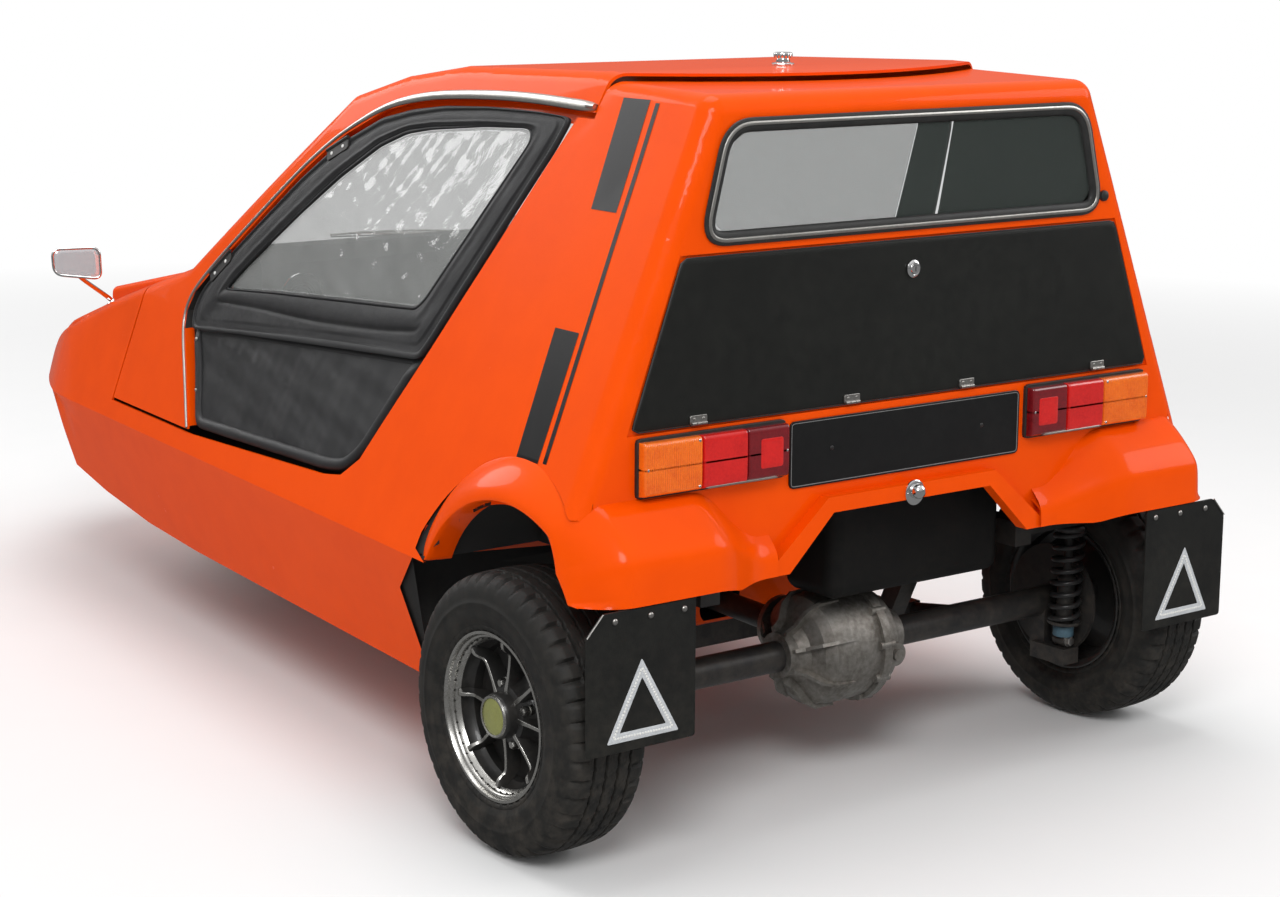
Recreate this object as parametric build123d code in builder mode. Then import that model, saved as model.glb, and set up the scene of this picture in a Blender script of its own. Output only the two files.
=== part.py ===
# Three wheeled car with a wedge body, a lifting canopy and soft side screens.
# Millimetres, +Z up, the nose points to -Y, the car's left side is +X.
from build123d import *
import math
import os

os.makedirs("parts", exist_ok=True)

# Overall sizes
length = 2794.0
roof_z = 1222.0
canopy_rise = 13.0
crease_z = 440.0
floor_z = 200.0
wall = 5.0
gap = 6.0
screen_thick = 8.0
seat = 0.3
nose_y = -length / 2
tail_y = length / 2
face_y = tail_y - 84.0

# Side surface: half width at z 600 and how fast it leans in, at nose and face
half_nose = 456.0
half_face = 680.0
lean_nose = 0.20
lean_face = 0.42
edge_round = 34.0

# Running gear
rear_axle_y = 1137.0
front_axle_y = rear_axle_y - 1956.0
tyre_r = 232.0
rear_tyre_w = 160.0
rear_track_x = 650.0
front_tyre_w = 134.0
arch_y = rear_axle_y + 5.0
arch_z = 320.0
arch_r = 250.0
kingpin_x = 98.0
kingpin_r = 9.5
stub_r = 21.7

# Mudguards round the rear wheels: outline radius, plane where they leave the body, and rear edge
fender_r = arch_r + 74.0
fender_x = 634.0
fender_reach = 66.0
fender_drop = 20.0
wing_low = 452.0
wing_top = 503.0
wing_inner_x = 480.0
wing_run = 165.0
wing_slope = 22.0

# Canopy hinge under the bonnet
hinge_y = -600.0
hinge_z = 670.0
hinge_x = 155.0
hinge_pin_r = 6.0

# Side view lines, as (y, z)
trim_path = [
    (-143, 486), (-211, 578), (-272, 662), (-281, 702), (-262, 746),
    (-170, 823), (-47, 916), (76, 1009), (150, 1057), (216, 1093),
    (336, 1143), (440, 1164), (552, 1176), (779, 1185), (1016, 1178),
]
door_rear = [
    (480, 505), (548, 515), (602, 552), (640, 612), (734, 757),
    (851, 952), (969, 1160),
]
seam_front = (-232, 669)


def lerp(a, b, t):
    return a + (b - a) * t


def side_x(y, z, inset=0.0):
    t = (y - nose_y) / (face_y - nose_y)
    lean = lerp(lean_nose, lean_face, t)
    return lerp(half_nose, half_face, t) - lean * (z - 600.0) - inset * math.hypot(1.0, lean)


def prism(points, x0=-900.0, x1=900.0, radius=0.0):
    # A side view outline carried across the car
    with BuildPart() as p:
        with BuildSketch(Plane.YZ.offset(x0)) as s:
            with BuildLine():
                Polyline(*points, close=True)
            make_face()
            if radius:
                fillet(s.vertices(), radius=radius)
        extrude(amount=x1 - x0, dir=(1, 0, 0))
    return p.part


def plan_prism(points, z0, z1, radius=0.0):
    # A plan outline carried upwards
    with BuildPart() as p:
        with BuildSketch(Plane.XY.offset(z0)) as s:
            with BuildLine():
                Polyline(*points, close=True)
            make_face()
            if radius:
                fillet(s.vertices(), radius=radius)
        extrude(amount=z1 - z0, dir=(0, 0, 1))
    return p.part


def rear_prism(points, y0, y1, radius=0.0):
    # A rear view outline, as (x, z), carried along the car
    with BuildPart() as p:
        with BuildSketch(Plane.XZ.offset(-y0)) as s:
            with BuildLine():
                Polyline(*points, close=True)
            make_face()
            if radius:
                fillet(s.vertices(), radius=radius)
        extrude(amount=y1 - y0, dir=(0, 1, 0))
    return p.part


def block(x0, x1, y0, y1, z0, z1, radius=0.0):
    with BuildPart() as p:
        with Locations(((x0 + x1) / 2, (y0 + y1) / 2, (z0 + z1) / 2)):
            Box(x1 - x0, y1 - y0, z1 - z0)
        if radius:
            fillet(p.edges(), radius=radius)
    return p.part


def rod(start, end, radius, inner=0.0):
    # A round bar or tube between two points
    a = Vector(*start)
    b = Vector(*end)
    with BuildPart() as p:
        with BuildSketch(Plane(origin=a, z_dir=(b - a).normalized())):
            Circle(radius)
            if inner:
                Circle(inner, mode=Mode.SUBTRACT)
        extrude(amount=(b - a).length)
    return p.part


def spin_x(points, y, z):
    # A profile of (x, radius) points turned about a cross axis at y, z
    with BuildPart() as p:
        with BuildSketch(Plane(origin=(0, y, z), x_dir=(1, 0, 0), z_dir=(0, 1, 0))):
            with BuildLine():
                Polyline(*[(x, r) for x, r in points], close=True)
            make_face()
        revolve(axis=Axis((0, y, z), (1, 0, 0)))
    return p.part


def joined(*pieces):
    with BuildPart() as p:
        for piece in pieces:
            add(piece)
    return p.part


def less(piece, *cutters):
    with BuildPart() as p:
        add(piece)
        for cutter in cutters:
            add(cutter, mode=Mode.SUBTRACT)
    return p.part


def common(piece, *others):
    with BuildPart() as p:
        add(piece)
        for other in others:
            add(other, mode=Mode.INTERSECT)
    return p.part


def shifted(points, d):
    # The same line moved sideways by d, to its right as it runs
    out = []
    for i, (a, b) in enumerate(points):
        p = points[max(i - 1, 0)]
        q = points[min(i + 1, len(points) - 1)]
        dy = q[0] - p[0]
        dz = q[1] - p[1]
        n = math.hypot(dy, dz)
        out.append((a + d * dz / n, b - d * dy / n))
    return out


def strip(points, low, high):
    # A band between two sideways shifts of one line
    return shifted(points, low) + shifted(points, high)[::-1]


def save(part, name):
    part.label = name
    export_step(part, "parts/" + name + ".step")
    print(name, len(part.solids()), round(part.volume / 1e6, 2))


# Body form: side view slab, leaning sides and the plan of the nose
def wedge(inset):
    low = 300.0
    high = 1400.0
    with BuildPart() as w:
        for y in (nose_y - 60.0, face_y + 60.0):
            with BuildSketch(Plane.XZ.offset(-y)):
                a = side_x(y, low, inset)
                b = side_x(y, high, inset)
                with BuildLine():
                    Polyline((a, low), (b, high), (-b, high), (-a, low), close=True)
                make_face()
        loft(ruled=True)
    return w.part


def slab(inset, rise):
    low = crease_z - (inset + 1.0 if inset > 0 else 0.0)
    outline = [
        (nose_y, low), (nose_y, 470), (-316, 782), (200, 1152 + rise * 0.3),
        (370, 1190 + rise * 0.7), (560, roof_z - 10 + rise), (1000, roof_z + rise),
        (face_y, roof_z - 10 + rise), (face_y, low),
    ]
    with BuildPart() as s:
        with BuildSketch(Plane.YZ):
            with BuildLine():
                Polyline(*outline, close=True)
            make_face()
            if inset:
                offset(amount=-inset, kind=Kind.INTERSECTION, mode=Mode.REPLACE)
        extrude(amount=900, both=True)
    return s.part


nose_plan = [(215, nose_y), (400, -1240), (535, -940), (1600, 1460), (1600, 2200)]


def bow(inset):
    low = crease_z - (2.0 if inset > 0 else 0.0)
    outline = nose_plan + [(-x, y) for x, y in nose_plan[::-1]]
    with BuildPart() as s:
        with BuildSketch(Plane.XY.offset(low)):
            with BuildLine():
                Polyline(*outline, close=True)
            make_face()
            if inset:
                offset(amount=-inset, kind=Kind.INTERSECTION, mode=Mode.REPLACE)
        extrude(amount=1000, taper=14)
    return s.part


def envelope(inset, rise=0.0):
    with BuildPart() as b:
        add(slab(inset, rise))
        add(wedge(inset), mode=Mode.INTERSECT)
        add(bow(inset), mode=Mode.INTERSECT)
        fillet([e for e in b.edges() if e.center().Z > crease_z + 8], radius=edge_round - inset)
    return b.part


def tub(inset):
    # The lower body under the crease, tucked in and rising to the nose
    top = crease_z
    rear = 880.0 - inset
    side = side_x(rear, crease_z)
    outline = [(215, nose_y), (400, -1240), (side_x(-940, crease_z), -940), (side, rear)]
    outline = outline + [(-x, y) for x, y in outline[::-1]]
    under = [
        (nose_y - 20, 500), (nose_y - 20, crease_z - 8), (-1330, 398), (-1180, 333), (-960, 272),
        (-760, 234), (-520, 208), (-260, floor_z), (rear, floor_z), (rear, 500),
    ]
    with BuildPart() as t:
        with BuildSketch(Plane.XY.offset(top)):
            with BuildLine():
                Polyline(*outline, close=True)
            make_face()
            if inset:
                offset(amount=-inset, kind=Kind.INTERSECTION, mode=Mode.REPLACE)
        extrude(amount=-300, taper=17)
    with BuildPart() as u:
        with BuildSketch(Plane.YZ.offset(-900)):
            with BuildLine():
                Polyline(*under, close=True)
            make_face()
            if inset:
                offset(amount=-inset, kind=Kind.INTERSECTION, mode=Mode.REPLACE)
        extrude(amount=1800, dir=(1, 0, 0))
    block_top = block(-900, 900, -1500, rear, 100, top)
    return common(t.part, u.part, block_top)


outer = envelope(0.0)
inner = envelope(wall)
middle = envelope(wall / 2)
outer_tub = tub(0.0)
inner_tub = tub(wall + 1.5)
print("forms", round(outer.volume / 1e9, 3), round(outer_tub.volume / 1e9, 3))

# Canopy edge, seen from above: an arc across the roof
def roof_arc(extra):
    pts = []
    for i in range(-6, 7):
        x = 72.0 * i
        pts.append((x, 1140.0 - 128.0 * (x / 432.0) ** 2 + extra))
    y = pts[0][1]
    return [(-900, -1500), (-900, y)] + pts + [(900, y), (900, -1500)]


canopy_side = shifted(trim_path, 8.0)
canopy_side[0] = (-140, 484)
canopy_outline = [(-555, 484)] + canopy_side + [(1300, 1172), (1300, 1500), (-506, 1500), (-506, 700)]
canopy_region = common(prism(canopy_outline), plan_prism(roof_arc(0.0), 300, 1500))
body_cut_outline = (
    [(-562, 477), (-120, 477)] + door_rear
    + [(1300, 1160), (1300, 1500), (-513, 1500), (-513, 700)]
)
body_cut = common(prism(body_cut_outline), plan_prism(roof_arc(gap), 300, 1500))

# Rear face: boot opening, window opening and the notch over the axle
lid_outline = [(-577, 704), (577, 704), (481, 964), (-481, 964)]
lid_hole = [(-586, 698), (586, 698), (485, 970), (-485, 970)]
flange_outline = [(-590, 694), (590, 694), (488, 974), (-488, 974)]
flange_hole = [(-566, 714), (566, 714), (472, 956), (-472, 956)]
window_outline = [(-446, 985), (446, 985), (398, 1172), (-398, 1172)]
notch = [(-275, 400), (-275, 436), (-178, 530), (178, 530), (275, 436), (275, 400)]
lip_outline = [(-318, 440), (-300, 462), (-190, 556), (190, 556), (300, 462), (318, 440)]


def fender_outline(inset):
    # Side view of a mudguard: facets round the arch, then a line down to the rear edge
    r = fender_r - inset
    turn = [math.radians(180 - 4 * i) for i in range(30)]
    line = [(arch_y + r * math.cos(a), arch_z + r * math.sin(a)) for a in turn]
    return line + [(tail_y - inset, wing_top - 0.43 * inset), (tail_y - inset, 200), (arch_y - r, 200)]


def fender_form(inset):
    # That outline carried across the wheel, leaning in at both ends and rounded at the outer lip
    stations = [
        (wing_inner_x - wing_run + inset, wing_run * math.tan(math.radians(wing_slope))),
        (wing_inner_x, 0), (fender_x, 0), (fender_x + fender_reach - 10, fender_drop),
        (fender_x + fender_reach - inset, fender_drop + 10 - inset),
    ]
    with BuildPart() as f:
        for x, drop in stations:
            with BuildSketch(Plane.YZ.offset(x)):
                with BuildLine():
                    Polyline(*fender_outline(inset + drop), close=True)
                make_face()
        loft(ruled=True)
    return f.part


def fender():
    form = less(fender_form(0.0), fender_form(wall))
    front = block(250, 720, 700, 1290, crease_z, 800)
    rear = block(250, 720, 1290, 1420, wing_low, 800)
    return common(form, joined(front, rear))


def wheel_opening(x0, x1):
    with BuildPart() as w:
        with BuildSketch(Plane.YZ.offset(x0)):
            with BuildLine():
                front = (arch_y - arch_r, arch_z)
                back = (arch_y + arch_r, arch_z)
                ThreePointArc(front, (arch_y, arch_z + arch_r), back)
                Polyline(back, (back[0], 150), (front[0], 150), front)
            make_face()
        extrude(amount=x1 - x0, dir=(1, 0, 0))
    return w.part


pod_x0 = 205.0
pod_x1 = 405.0


def pod(inset):
    # Headlamp pod standing on the bonnet
    # its hollow, made with an inset, runs out through the front for the lamp
    front = 0.0 if not inset else 10.0
    pts = [(-870 - front, 560), (-862 - front, 676 - inset), (-520 - inset, 745 - inset), (-520 - inset, 560)]
    with BuildPart() as p:
        with BuildSketch(Plane.YZ.offset(pod_x0 + inset)):
            with BuildLine():
                Polyline(*pts, close=True)
            make_face()
        extrude(amount=pod_x1 - pod_x0 - 2 * inset, dir=(1, 0, 0))
        if not inset:
            fillet([e for e in p.edges() if e.center().Z > 640 and -850 < e.center().Y < -530], radius=14)
    return p.part


def hinge_bracket():
    # Plate and pin under the bonnet that the canopy turns on
    plate = block(hinge_x + 9, hinge_x + 17, hinge_y - 14, hinge_y + 14, hinge_z - 14, 720)
    pin = rod((hinge_x - 8, hinge_y, hinge_z), (hinge_x + 12, hinge_y, hinge_z), hinge_pin_r)
    return joined(common(plate, middle), pin)


def hinge_arm():
    # Swan neck from the canopy's front edge down and forward to the pin
    neck = [
        (hinge_y, hinge_z - 13), (hinge_y + 100, hinge_z - 47), (hinge_y + 130, hinge_z - 38),
        (hinge_y + 150, hinge_z + 90), (hinge_y + 118, hinge_z + 90), (hinge_y + 112, hinge_z - 22),
        (hinge_y + 90, hinge_z - 34), (hinge_y, hinge_z + 13),
    ]
    arm = joined(
        prism(neck, hinge_x - 5, hinge_x + 5),
        rod((hinge_x - 5, hinge_y, hinge_z), (hinge_x + 5, hinge_y, hinge_z), 15))
    bore = rod((hinge_x - 20, hinge_y, hinge_z), (hinge_x + 20, hinge_y, hinge_z), hinge_pin_r + seat)
    return common(less(arm, bore), middle)


def body_shell():
    opening = wheel_opening(530, 800)
    window_hole = rear_prism(window_outline, 1250, 1400, 46)
    boot_hole = rear_prism(lid_hole, 1250, 1400)
    notch_hole = rear_prism(notch, 1200, 1400)
    wheel_hole = plan_prism([(-300, -1150), (300, -1150), (330, -515), (-330, -515)], 100, 330, 60)
    pod_hole = pod(wall)
    body = less(outer, inner, pod_hole, pod_hole.mirror(Plane.YZ), body_cut, boot_hole, window_hole,
                opening, opening.mirror(Plane.YZ), notch_hole)
    body = joined(body, less(rear_prism(lip_outline, 1309, 1334), notch_hole))
    flange = less(rear_prism(flange_outline, 1303.6, 1308.6), rear_prism(flange_hole, 1290, 1320))
    body = joined(body, common(flange, middle))
    fender_piece = less(fender(), middle, opening)
    pod_piece = less(pod(0.0), middle, pod_hole)
    for piece in (fender_piece, pod_piece, hinge_bracket()):
        body = joined(body, piece)
        body = joined(body, piece.mirror(Plane.YZ))
    return joined(body, less(outer_tub, inner_tub, wheel_hole))


propshaft_hole = rod((0, 50, 268), (0, 990, 236), 46)
shell = less(body_shell(), common(propshaft_hole, block(-60, 60, 780, 990, 206.6, 330)))
save(shell, "body_shell")


# Canopy: roof, pillars and cheeks, with a jamb that the side screens close on
def canopy():
    skin = common(less(envelope(0.0, canopy_rise), envelope(wall, canopy_rise)), canopy_region)
    skin = less(skin, screen_hole)
    jamb_wall = common(prism(strip(trim_path, 3.0, 8.0), 100, 900), envelope(3.0))
    jamb_wall = less(jamb_wall, envelope(25.0))
    jamb_flange = common(prism(strip(trim_path, 3.0, 34.0), 100, 900), envelope(20.3))
    jamb_flange = less(jamb_flange, envelope(25.0))
    rest_pad = common(less(envelope(screen_thick + seat), envelope(21.0)),
                      prism(strip(trim_path, 24.0, 34.0), 100, 900), block(0, 900, -222, -182, 700, 830))
    jamb = common(joined(jamb_wall, jamb_flange, rest_pad), block(0, 900, -400, 1010, 486, 1250))
    arm = hinge_arm()
    return joined(skin, jamb, jamb.mirror(Plane.YZ), arm, arm.mirror(Plane.YZ))


screen_lean = math.atan2(1152 + canopy_rise * 0.3 - 782, 516)
screen_plane = Plane(
    origin=(0, -316, 782), x_dir=(1, 0, 0),
    z_dir=(0, -math.sin(screen_lean), math.cos(screen_lean)),
)


def on_screen(inset, low, high, radius):
    # The windscreen outline, inset, between two heights off the sloping face
    with BuildPart() as p:
        with BuildSketch(screen_plane.offset(low)) as s:
            with BuildLine():
                Polyline((-428, 48), (428, 48), (350, 592), (-350, 592), close=True)
            make_face()
            if inset:
                offset(amount=-inset, kind=Kind.INTERSECTION, mode=Mode.REPLACE)
            fillet(s.vertices(), radius=radius - inset)
        extrude(amount=high - low)
    return p.part


screen_hole = on_screen(0.0, -60, 60, 46)
save(canopy(), "canopy_shell")
save(less(on_screen(seat, -8, 2.5, 46), on_screen(14.0, -20, 20, 46)), "windscreen_seal")
save(on_screen(14.3, -5, -1, 46), "windscreen")

with BuildPart() as wiper:
    with BuildSketch(screen_plane.offset(0.4)):
        with Locations((-150, 24)):
            Circle(11)
    extrude(amount=24)
    with BuildSketch(screen_plane.offset(16.0)):
        with Locations(Location((-20, 45), 9)):
            Rectangle(280, 10)
    extrude(amount=6)
    with BuildSketch(screen_plane.offset(3.5)):
        with Locations(Location((30, 66), 4)):
            Rectangle(330, 6)
    extrude(amount=15)
save(wiper.part, "wiper")

with BuildPart() as knob:
    with Locations((0, 976, roof_z + canopy_rise + 0.2)):
        Cylinder(20, 21.8, align=(Align.CENTER, Align.CENTER, Align.MIN))
    fillet(knob.faces().sort_by(Axis.Z)[-1].edges(), radius=6)
save(knob.part, "roof_knob")

# Side screens, one table for the left; the right ones are mirrored
window = [
    (-112, 764), (-60, 806), (122, 932), (240, 1008), (358, 1072), (440, 1100), (517, 1112),
    (690, 1128), (838, 1133), (852, 1112), (740, 946), (668, 838), (640, 818),
]
screen_outline = (
    [seam_front, (-240, 704), (-226, 742)]
    + shifted(trim_path, 20.0)[5:14]
    + [(960, 1158), (843, 958), (727, 765), (704, 736)]
)
panel_outline = (
    [(-226, 690), (-226, 664), (-180, 592), (-118, 490), (474, 511), (540, 522), (590, 558),
     (628, 618), (700, 733), (698, 752)]
)
left_pieces = {
    "side_trim": common(less(envelope(-6.3), envelope(-seat)), prism(strip(trim_path, -7, 7), 100, 900)),
    "screen_frame": less(
        common(less(envelope(0.0), envelope(screen_thick)), prism(screen_outline, 100, 900)),
        prism(window, 100, 900, 8)),
    "screen_window": common(
        less(envelope(3.0), envelope(5.0)),
        prism([(y * 0.9985 + 0.55, z * 0.999 + 0.97) for y, z in window], 100, 900, 8)),
    "lower_panel": common(less(envelope(14.0), envelope(20.0)), prism(panel_outline, 100, 900)),
}
for name, piece in left_pieces.items():
    save(piece, name + "_left")
    save(piece.mirror(Plane.YZ), name + "_right")

# Rear face fittings
pane_outline = [(-428, 999), (428, 999), (386, 1158), (-386, 1158)]
save(less(rear_prism(window_outline, 1305, 1317, 46), rear_prism(pane_outline, 1290, 1330, 33)),
     "rear_window_seal")
save(rear_prism([(x * 0.999, z) for x, z in pane_outline], 1309, 1312.5, 33), "rear_window")
save(rear_prism(lid_outline, 1309, 1316, 6), "boot_lid")
with BuildPart() as hinges:
    for x in (-450, -130, 130, 450):
        with Locations((x, 1317.6, 712)):
            Box(34, 2.6, 14)
        with Locations(Location((x, 1319.4, 706), (0, 90, 0))):
            Cylinder(3, 30)
save(hinges.part, "lid_hinges")
save(rod((0, 1316.3, 916), (0, 1325, 916), 14), "lid_lock")
lamp = block(275, 568, face_y + seat, face_y + 24, 602, 690, 7)
save(lamp, "tail_lamp_left")
save(lamp.mirror(Plane.YZ), "tail_lamp_right")
save(block(-260, 260, face_y + seat, face_y + 3.5, 575, 686), "number_plate")
save(block(-17, 17, 1334.3, 1356, 531, 551, 7), "plate_lamp")
flap_top = wing_low - seat
flap = rear_prism([(512, 229), (721, 229), (721, 418), (690, flap_top), (512, flap_top)], 1391.5, 1395)
save(flap, "mudflap_left")
save(flap.mirror(Plane.YZ), "mudflap_right")

# Headlamps in the pods, and the door mirrors on stalks
headlamp = block(pod_x0 + wall + seat, pod_x1 - wall - seat, -858, -790, 592, 671)
headlamp = less(headlamp, envelope(-seat))
save(headlamp, "headlamp_left")
save(headlamp.mirror(Plane.YZ), "headlamp_right")
foot = (440, -800, 664)
head = (560, -718, 742)
door_mirror = joined(
    rod((440, -800, 640), (440, -800, 668), 15), rod(foot, head, 5),
    block(505, 615, -722, -700, 712, 792, 9))
door_mirror = less(door_mirror, envelope(-seat))
save(door_mirror, "mirror_left")
save(door_mirror.mirror(Plane.YZ), "mirror_right")


# Inner black mouldings: bulkheads, engine cover, seat platform, load floor and wheel wells
def floor_pan():
    low = tub(wall + 1.5 + seat)
    high = envelope(wall + seat)
    clear = envelope(13.0)
    inside = joined(low, common(clear, block(-900, 900, -1400, 1400, 439, 1300)))
    bulkhead = common(block(-900, 900, -425, -421, 205, 640), inside)
    cover = less(block(-150, 150, -423, 114, 204, 545), block(-146, 146, -600, 110, 100, 541))
    seats = less(block(-900, 900, 110, 764, 204, 330), block(-900, 900, 114, 760, 100, 326))
    back = block(-900, 900, 760, 764, 204, 541)
    lower = common(joined(cover, seats, back), inside)
    load = joined(
        block(-900, 900, 762, 904, 440.3, 444.3), block(-900, 900, 900, 904, 440.3, 549),
        block(-900, 900, 900, 1320, 545, 549))
    well = wheel_well(268, 466, 900)
    hollow = wheel_well(264, 470, 900)
    load = less(joined(load, well, well.mirror(Plane.YZ)), hollow, hollow.mirror(Plane.YZ))
    pan = joined(bulkhead, lower, common(load, high))
    return less(pan, propshaft_hole)


def wheel_well(r, x0, x1):
    with BuildPart() as w:
        with BuildSketch(Plane.YZ.offset(x0)):
            with BuildLine():
                ThreePointArc((arch_y - r, arch_z), (arch_y, arch_z + r), (arch_y + r, arch_z))
                Line((arch_y + r, arch_z), (arch_y - r, arch_z))
            make_face()
        extrude(amount=x1 - x0, dir=(1, 0, 0))
    return common(w.part, block(0, 900, 500, 1320, 440.3, 900))


save(floor_pan(), "floor_pan")

# Chassis under the tub, rising over the rear axle
def chassis():
    side = [
        (-500, 150), (900, 150), (1010, 380), (1240, 380), (1240, 425), (985, 425),
        (890, 215), (886, floor_z - seat), (-500, floor_z - seat),
    ]
    rail = prism(side, 340, 380)
    cross = [
        block(-345, 345, y, y + 50, 150, floor_z - seat) for y in (-500, 120, 740)
    ] + [block(-345, 345, 1000, 1040, 380, 425)]
    hanger = joined(block(340, 540, 1190, 1230, 395, 425), block(500, 540, 1190, 1230, 395, 440))
    return joined(rail, rail.mirror(Plane.YZ), *cross, hanger, hanger.mirror(Plane.YZ))


spring_x = 515.0
save(chassis(), "chassis")


def rear_axle():
    tube = rod((-556, rear_axle_y, tyre_r), (556, rear_axle_y, tyre_r), 27)
    plates = joined(
        rod((548, rear_axle_y, tyre_r), (556, rear_axle_y, tyre_r), 104),
        rod((-556, rear_axle_y, tyre_r), (-548, rear_axle_y, tyre_r), 104),
        rod((540, rear_axle_y, tyre_r), (rear_track_x + 36 - seat, rear_axle_y, tyre_r), stub_r),
        rod((-rear_track_x - 36 + seat, rear_axle_y, tyre_r), (-540, rear_axle_y, tyre_r), stub_r))
    link = joined(
        rod((420, 880, 176), (420, rear_axle_y, tyre_r - 14), 13),
        block(380.3, 434, 866, 900, 158, 194),
        block(495, 535, rear_axle_y, 1222, 128, 158), block(505, 525, rear_axle_y - 12, 1162, 150, 224))
    return joined(tube, plates, link, link.mirror(Plane.YZ))


def differential():
    # Split alloy casing: a ribbed cone, a bolted flange and a rounded cover, all turned about the axle
    mid_z = tyre_r + 2.0
    outline = [
        (130, 0), (130, 40), (112, 42), (97, 56), (85, 80), (73, 96), (38, 101), (-28, 98), (-28, 106),
        (-46, 106), (-46, 97), (-74, 89), (-87, 70), (-94, 48), (-130, 44), (-130, 0),
    ]
    rib = [(126, 30), (126, 50), (112, 60), (96, 88), (70, 104), (30, 105), (30, 80), (80, 30)]
    with BuildPart() as d:
        add(spin_x(outline, rear_axle_y, mid_z))
        for i in range(8):
            a = math.radians(45 * i + 20)
            across = (0, -math.sin(a), math.cos(a))
            with BuildSketch(Plane(origin=(0, rear_axle_y, mid_z), x_dir=(1, 0, 0), z_dir=across)):
                with BuildLine():
                    Polyline(*[(x, -r) for x, r in rib], close=True)
                make_face()
            extrude(amount=3, both=True)
        for i in range(10):
            a = math.radians(36 * i + 8)
            y = rear_axle_y + 100 * math.cos(a)
            z = mid_z + 100 * math.sin(a)
            add(rod((-52, y, z), (-20, y, z), 7.5))
        add(rod((-62, rear_axle_y + 50, 226), (-62, rear_axle_y + 98, 226), 21))
        add(rod((-62, rear_axle_y + 50, 226), (-62, rear_axle_y + 106, 226), 11))
        add(rod((0, rear_axle_y - 147, 239), (0, rear_axle_y - 40, 238), 42))
        add(rod((0, rear_axle_y - 147, 239), (0, rear_axle_y - 137, 239), 52))
    bore = rod((-300, rear_axle_y, tyre_r), (300, rear_axle_y, tyre_r), 27 + seat)
    return less(d.part, bore)


save(rear_axle(), "rear_axle")
save(differential(), "differential")


def spring_unit(x, y0, z0, y1, z1):
    # Coil over damper drawn as stacked discs round one body
    a = Vector(x, y0, z0)
    b = Vector(x, y1, z1)
    d = (b - a).normalized()
    n = (b - a).length
    parts = [rod(a, a + d * n * 0.5, 19), rod(a + d * n * 0.45, b, 9)]
    parts.append(rod(b - d * 14, b, 30))
    parts.append(rod(a + d * n * 0.18, a + d * (n * 0.18 + 6), 32))
    for i in range(8):
        s = n * (0.26 + 0.085 * i)
        parts.append(rod(a + d * s, a + d * (s + 8), 31))
    return joined(*parts)


rear_spring = spring_unit(spring_x, 1200, 159.2, 1208, 393.4)
save(rear_spring, "rear_spring_left")
save(rear_spring.mirror(Plane.YZ), "rear_spring_right")
tank = block(-300, 100, 1110, 1245, 345, 544.7, 26)
save(tank, "fuel_tank")

# Driveline: plain engine block under its cover, gearbox and propshaft
save(block(-125, 125, -415, -60, 212.5, 520, 10), "engine_block")
save(block(-80, 80, -59.7, 60, 212.5, 400, 8), "gearbox")
save(rod((0, 61.0, 268), (0, rear_axle_y - 148.2, 239), 22), "propshaft")
save(joined(rod((-230, -260, 130), (-230, 960, 130), 19.4),
            rod((-230, 200, 130), (-230, 640, 130), 19.6),
            rod((-230, 960, 130), (-230, 1010, 112), 19)), "exhaust")

# Seats
with BuildPart() as base_cushion:
    with Locations((275, 370, 380.3)):
        Box(410, 440, 100)
    fillet(base_cushion.edges(), radius=26)
back_outline = [(606, 330.3), (704, 330.3), (756, 790), (730, 820), (690, 824), (662, 800)]
with BuildPart() as back_cushion:
    with BuildSketch(Plane.YZ.offset(70)):
        with BuildLine():
            Polyline(*back_outline, close=True)
        make_face()
    extrude(amount=410, dir=(1, 0, 0))
    chamfer(back_cushion.faces().sort_by(Axis.X)[-1].edges(), length=16)
    chamfer(back_cushion.faces().sort_by(Axis.X)[0].edges(), length=16)
for piece, name in ((base_cushion.part, "seat_base"), (back_cushion.part, "seat_back")):
    save(piece, name + "_left")
    save(piece.mirror(Plane.YZ), name + "_right")

# Dashboard, column and wheel; the driver sits on the right
dash_outline = [(-130, 640), (-130, 800), (-150, 832), (-180, 836), (-250, 790), (-250, 640)]
dash_block = prism(dash_outline, -425, 425)
pedestal = block(-40, 40, -230, -150, 545.3, 641)
save(joined(dash_block, pedestal), "dashboard")
wheel_c = Vector(-250, 60, 745)
column_dir = Vector(0, math.cos(math.radians(20)), math.sin(math.radians(20)))
column_end = wheel_c - column_dir * (15.0 + seat)
column = less(rod(wheel_c - column_dir * 230, column_end, 17), prism(dash_outline, -900, 900))
column = common(column, block(-400, 0, -129.8, 300, 500, 900))
save(column, "steering_column")
with BuildPart() as steering_wheel:
    with BuildSketch(Plane(origin=wheel_c, x_dir=(1, 0, 0), z_dir=column_dir)) as ws:
        Circle(36)
        for angle in (0, 180, 270):
            with Locations(Location((0, 0), angle)):
                with Locations((82, 0)):
                    Rectangle(150, 22)
    extrude(amount=5, both=True)
    with Locations(Plane(origin=wheel_c, x_dir=(1, 0, 0), z_dir=column_dir).location):
        Torus(158, 12)
        Cylinder(24, 30)
save(steering_wheel.part, "steering_wheel")

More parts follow.
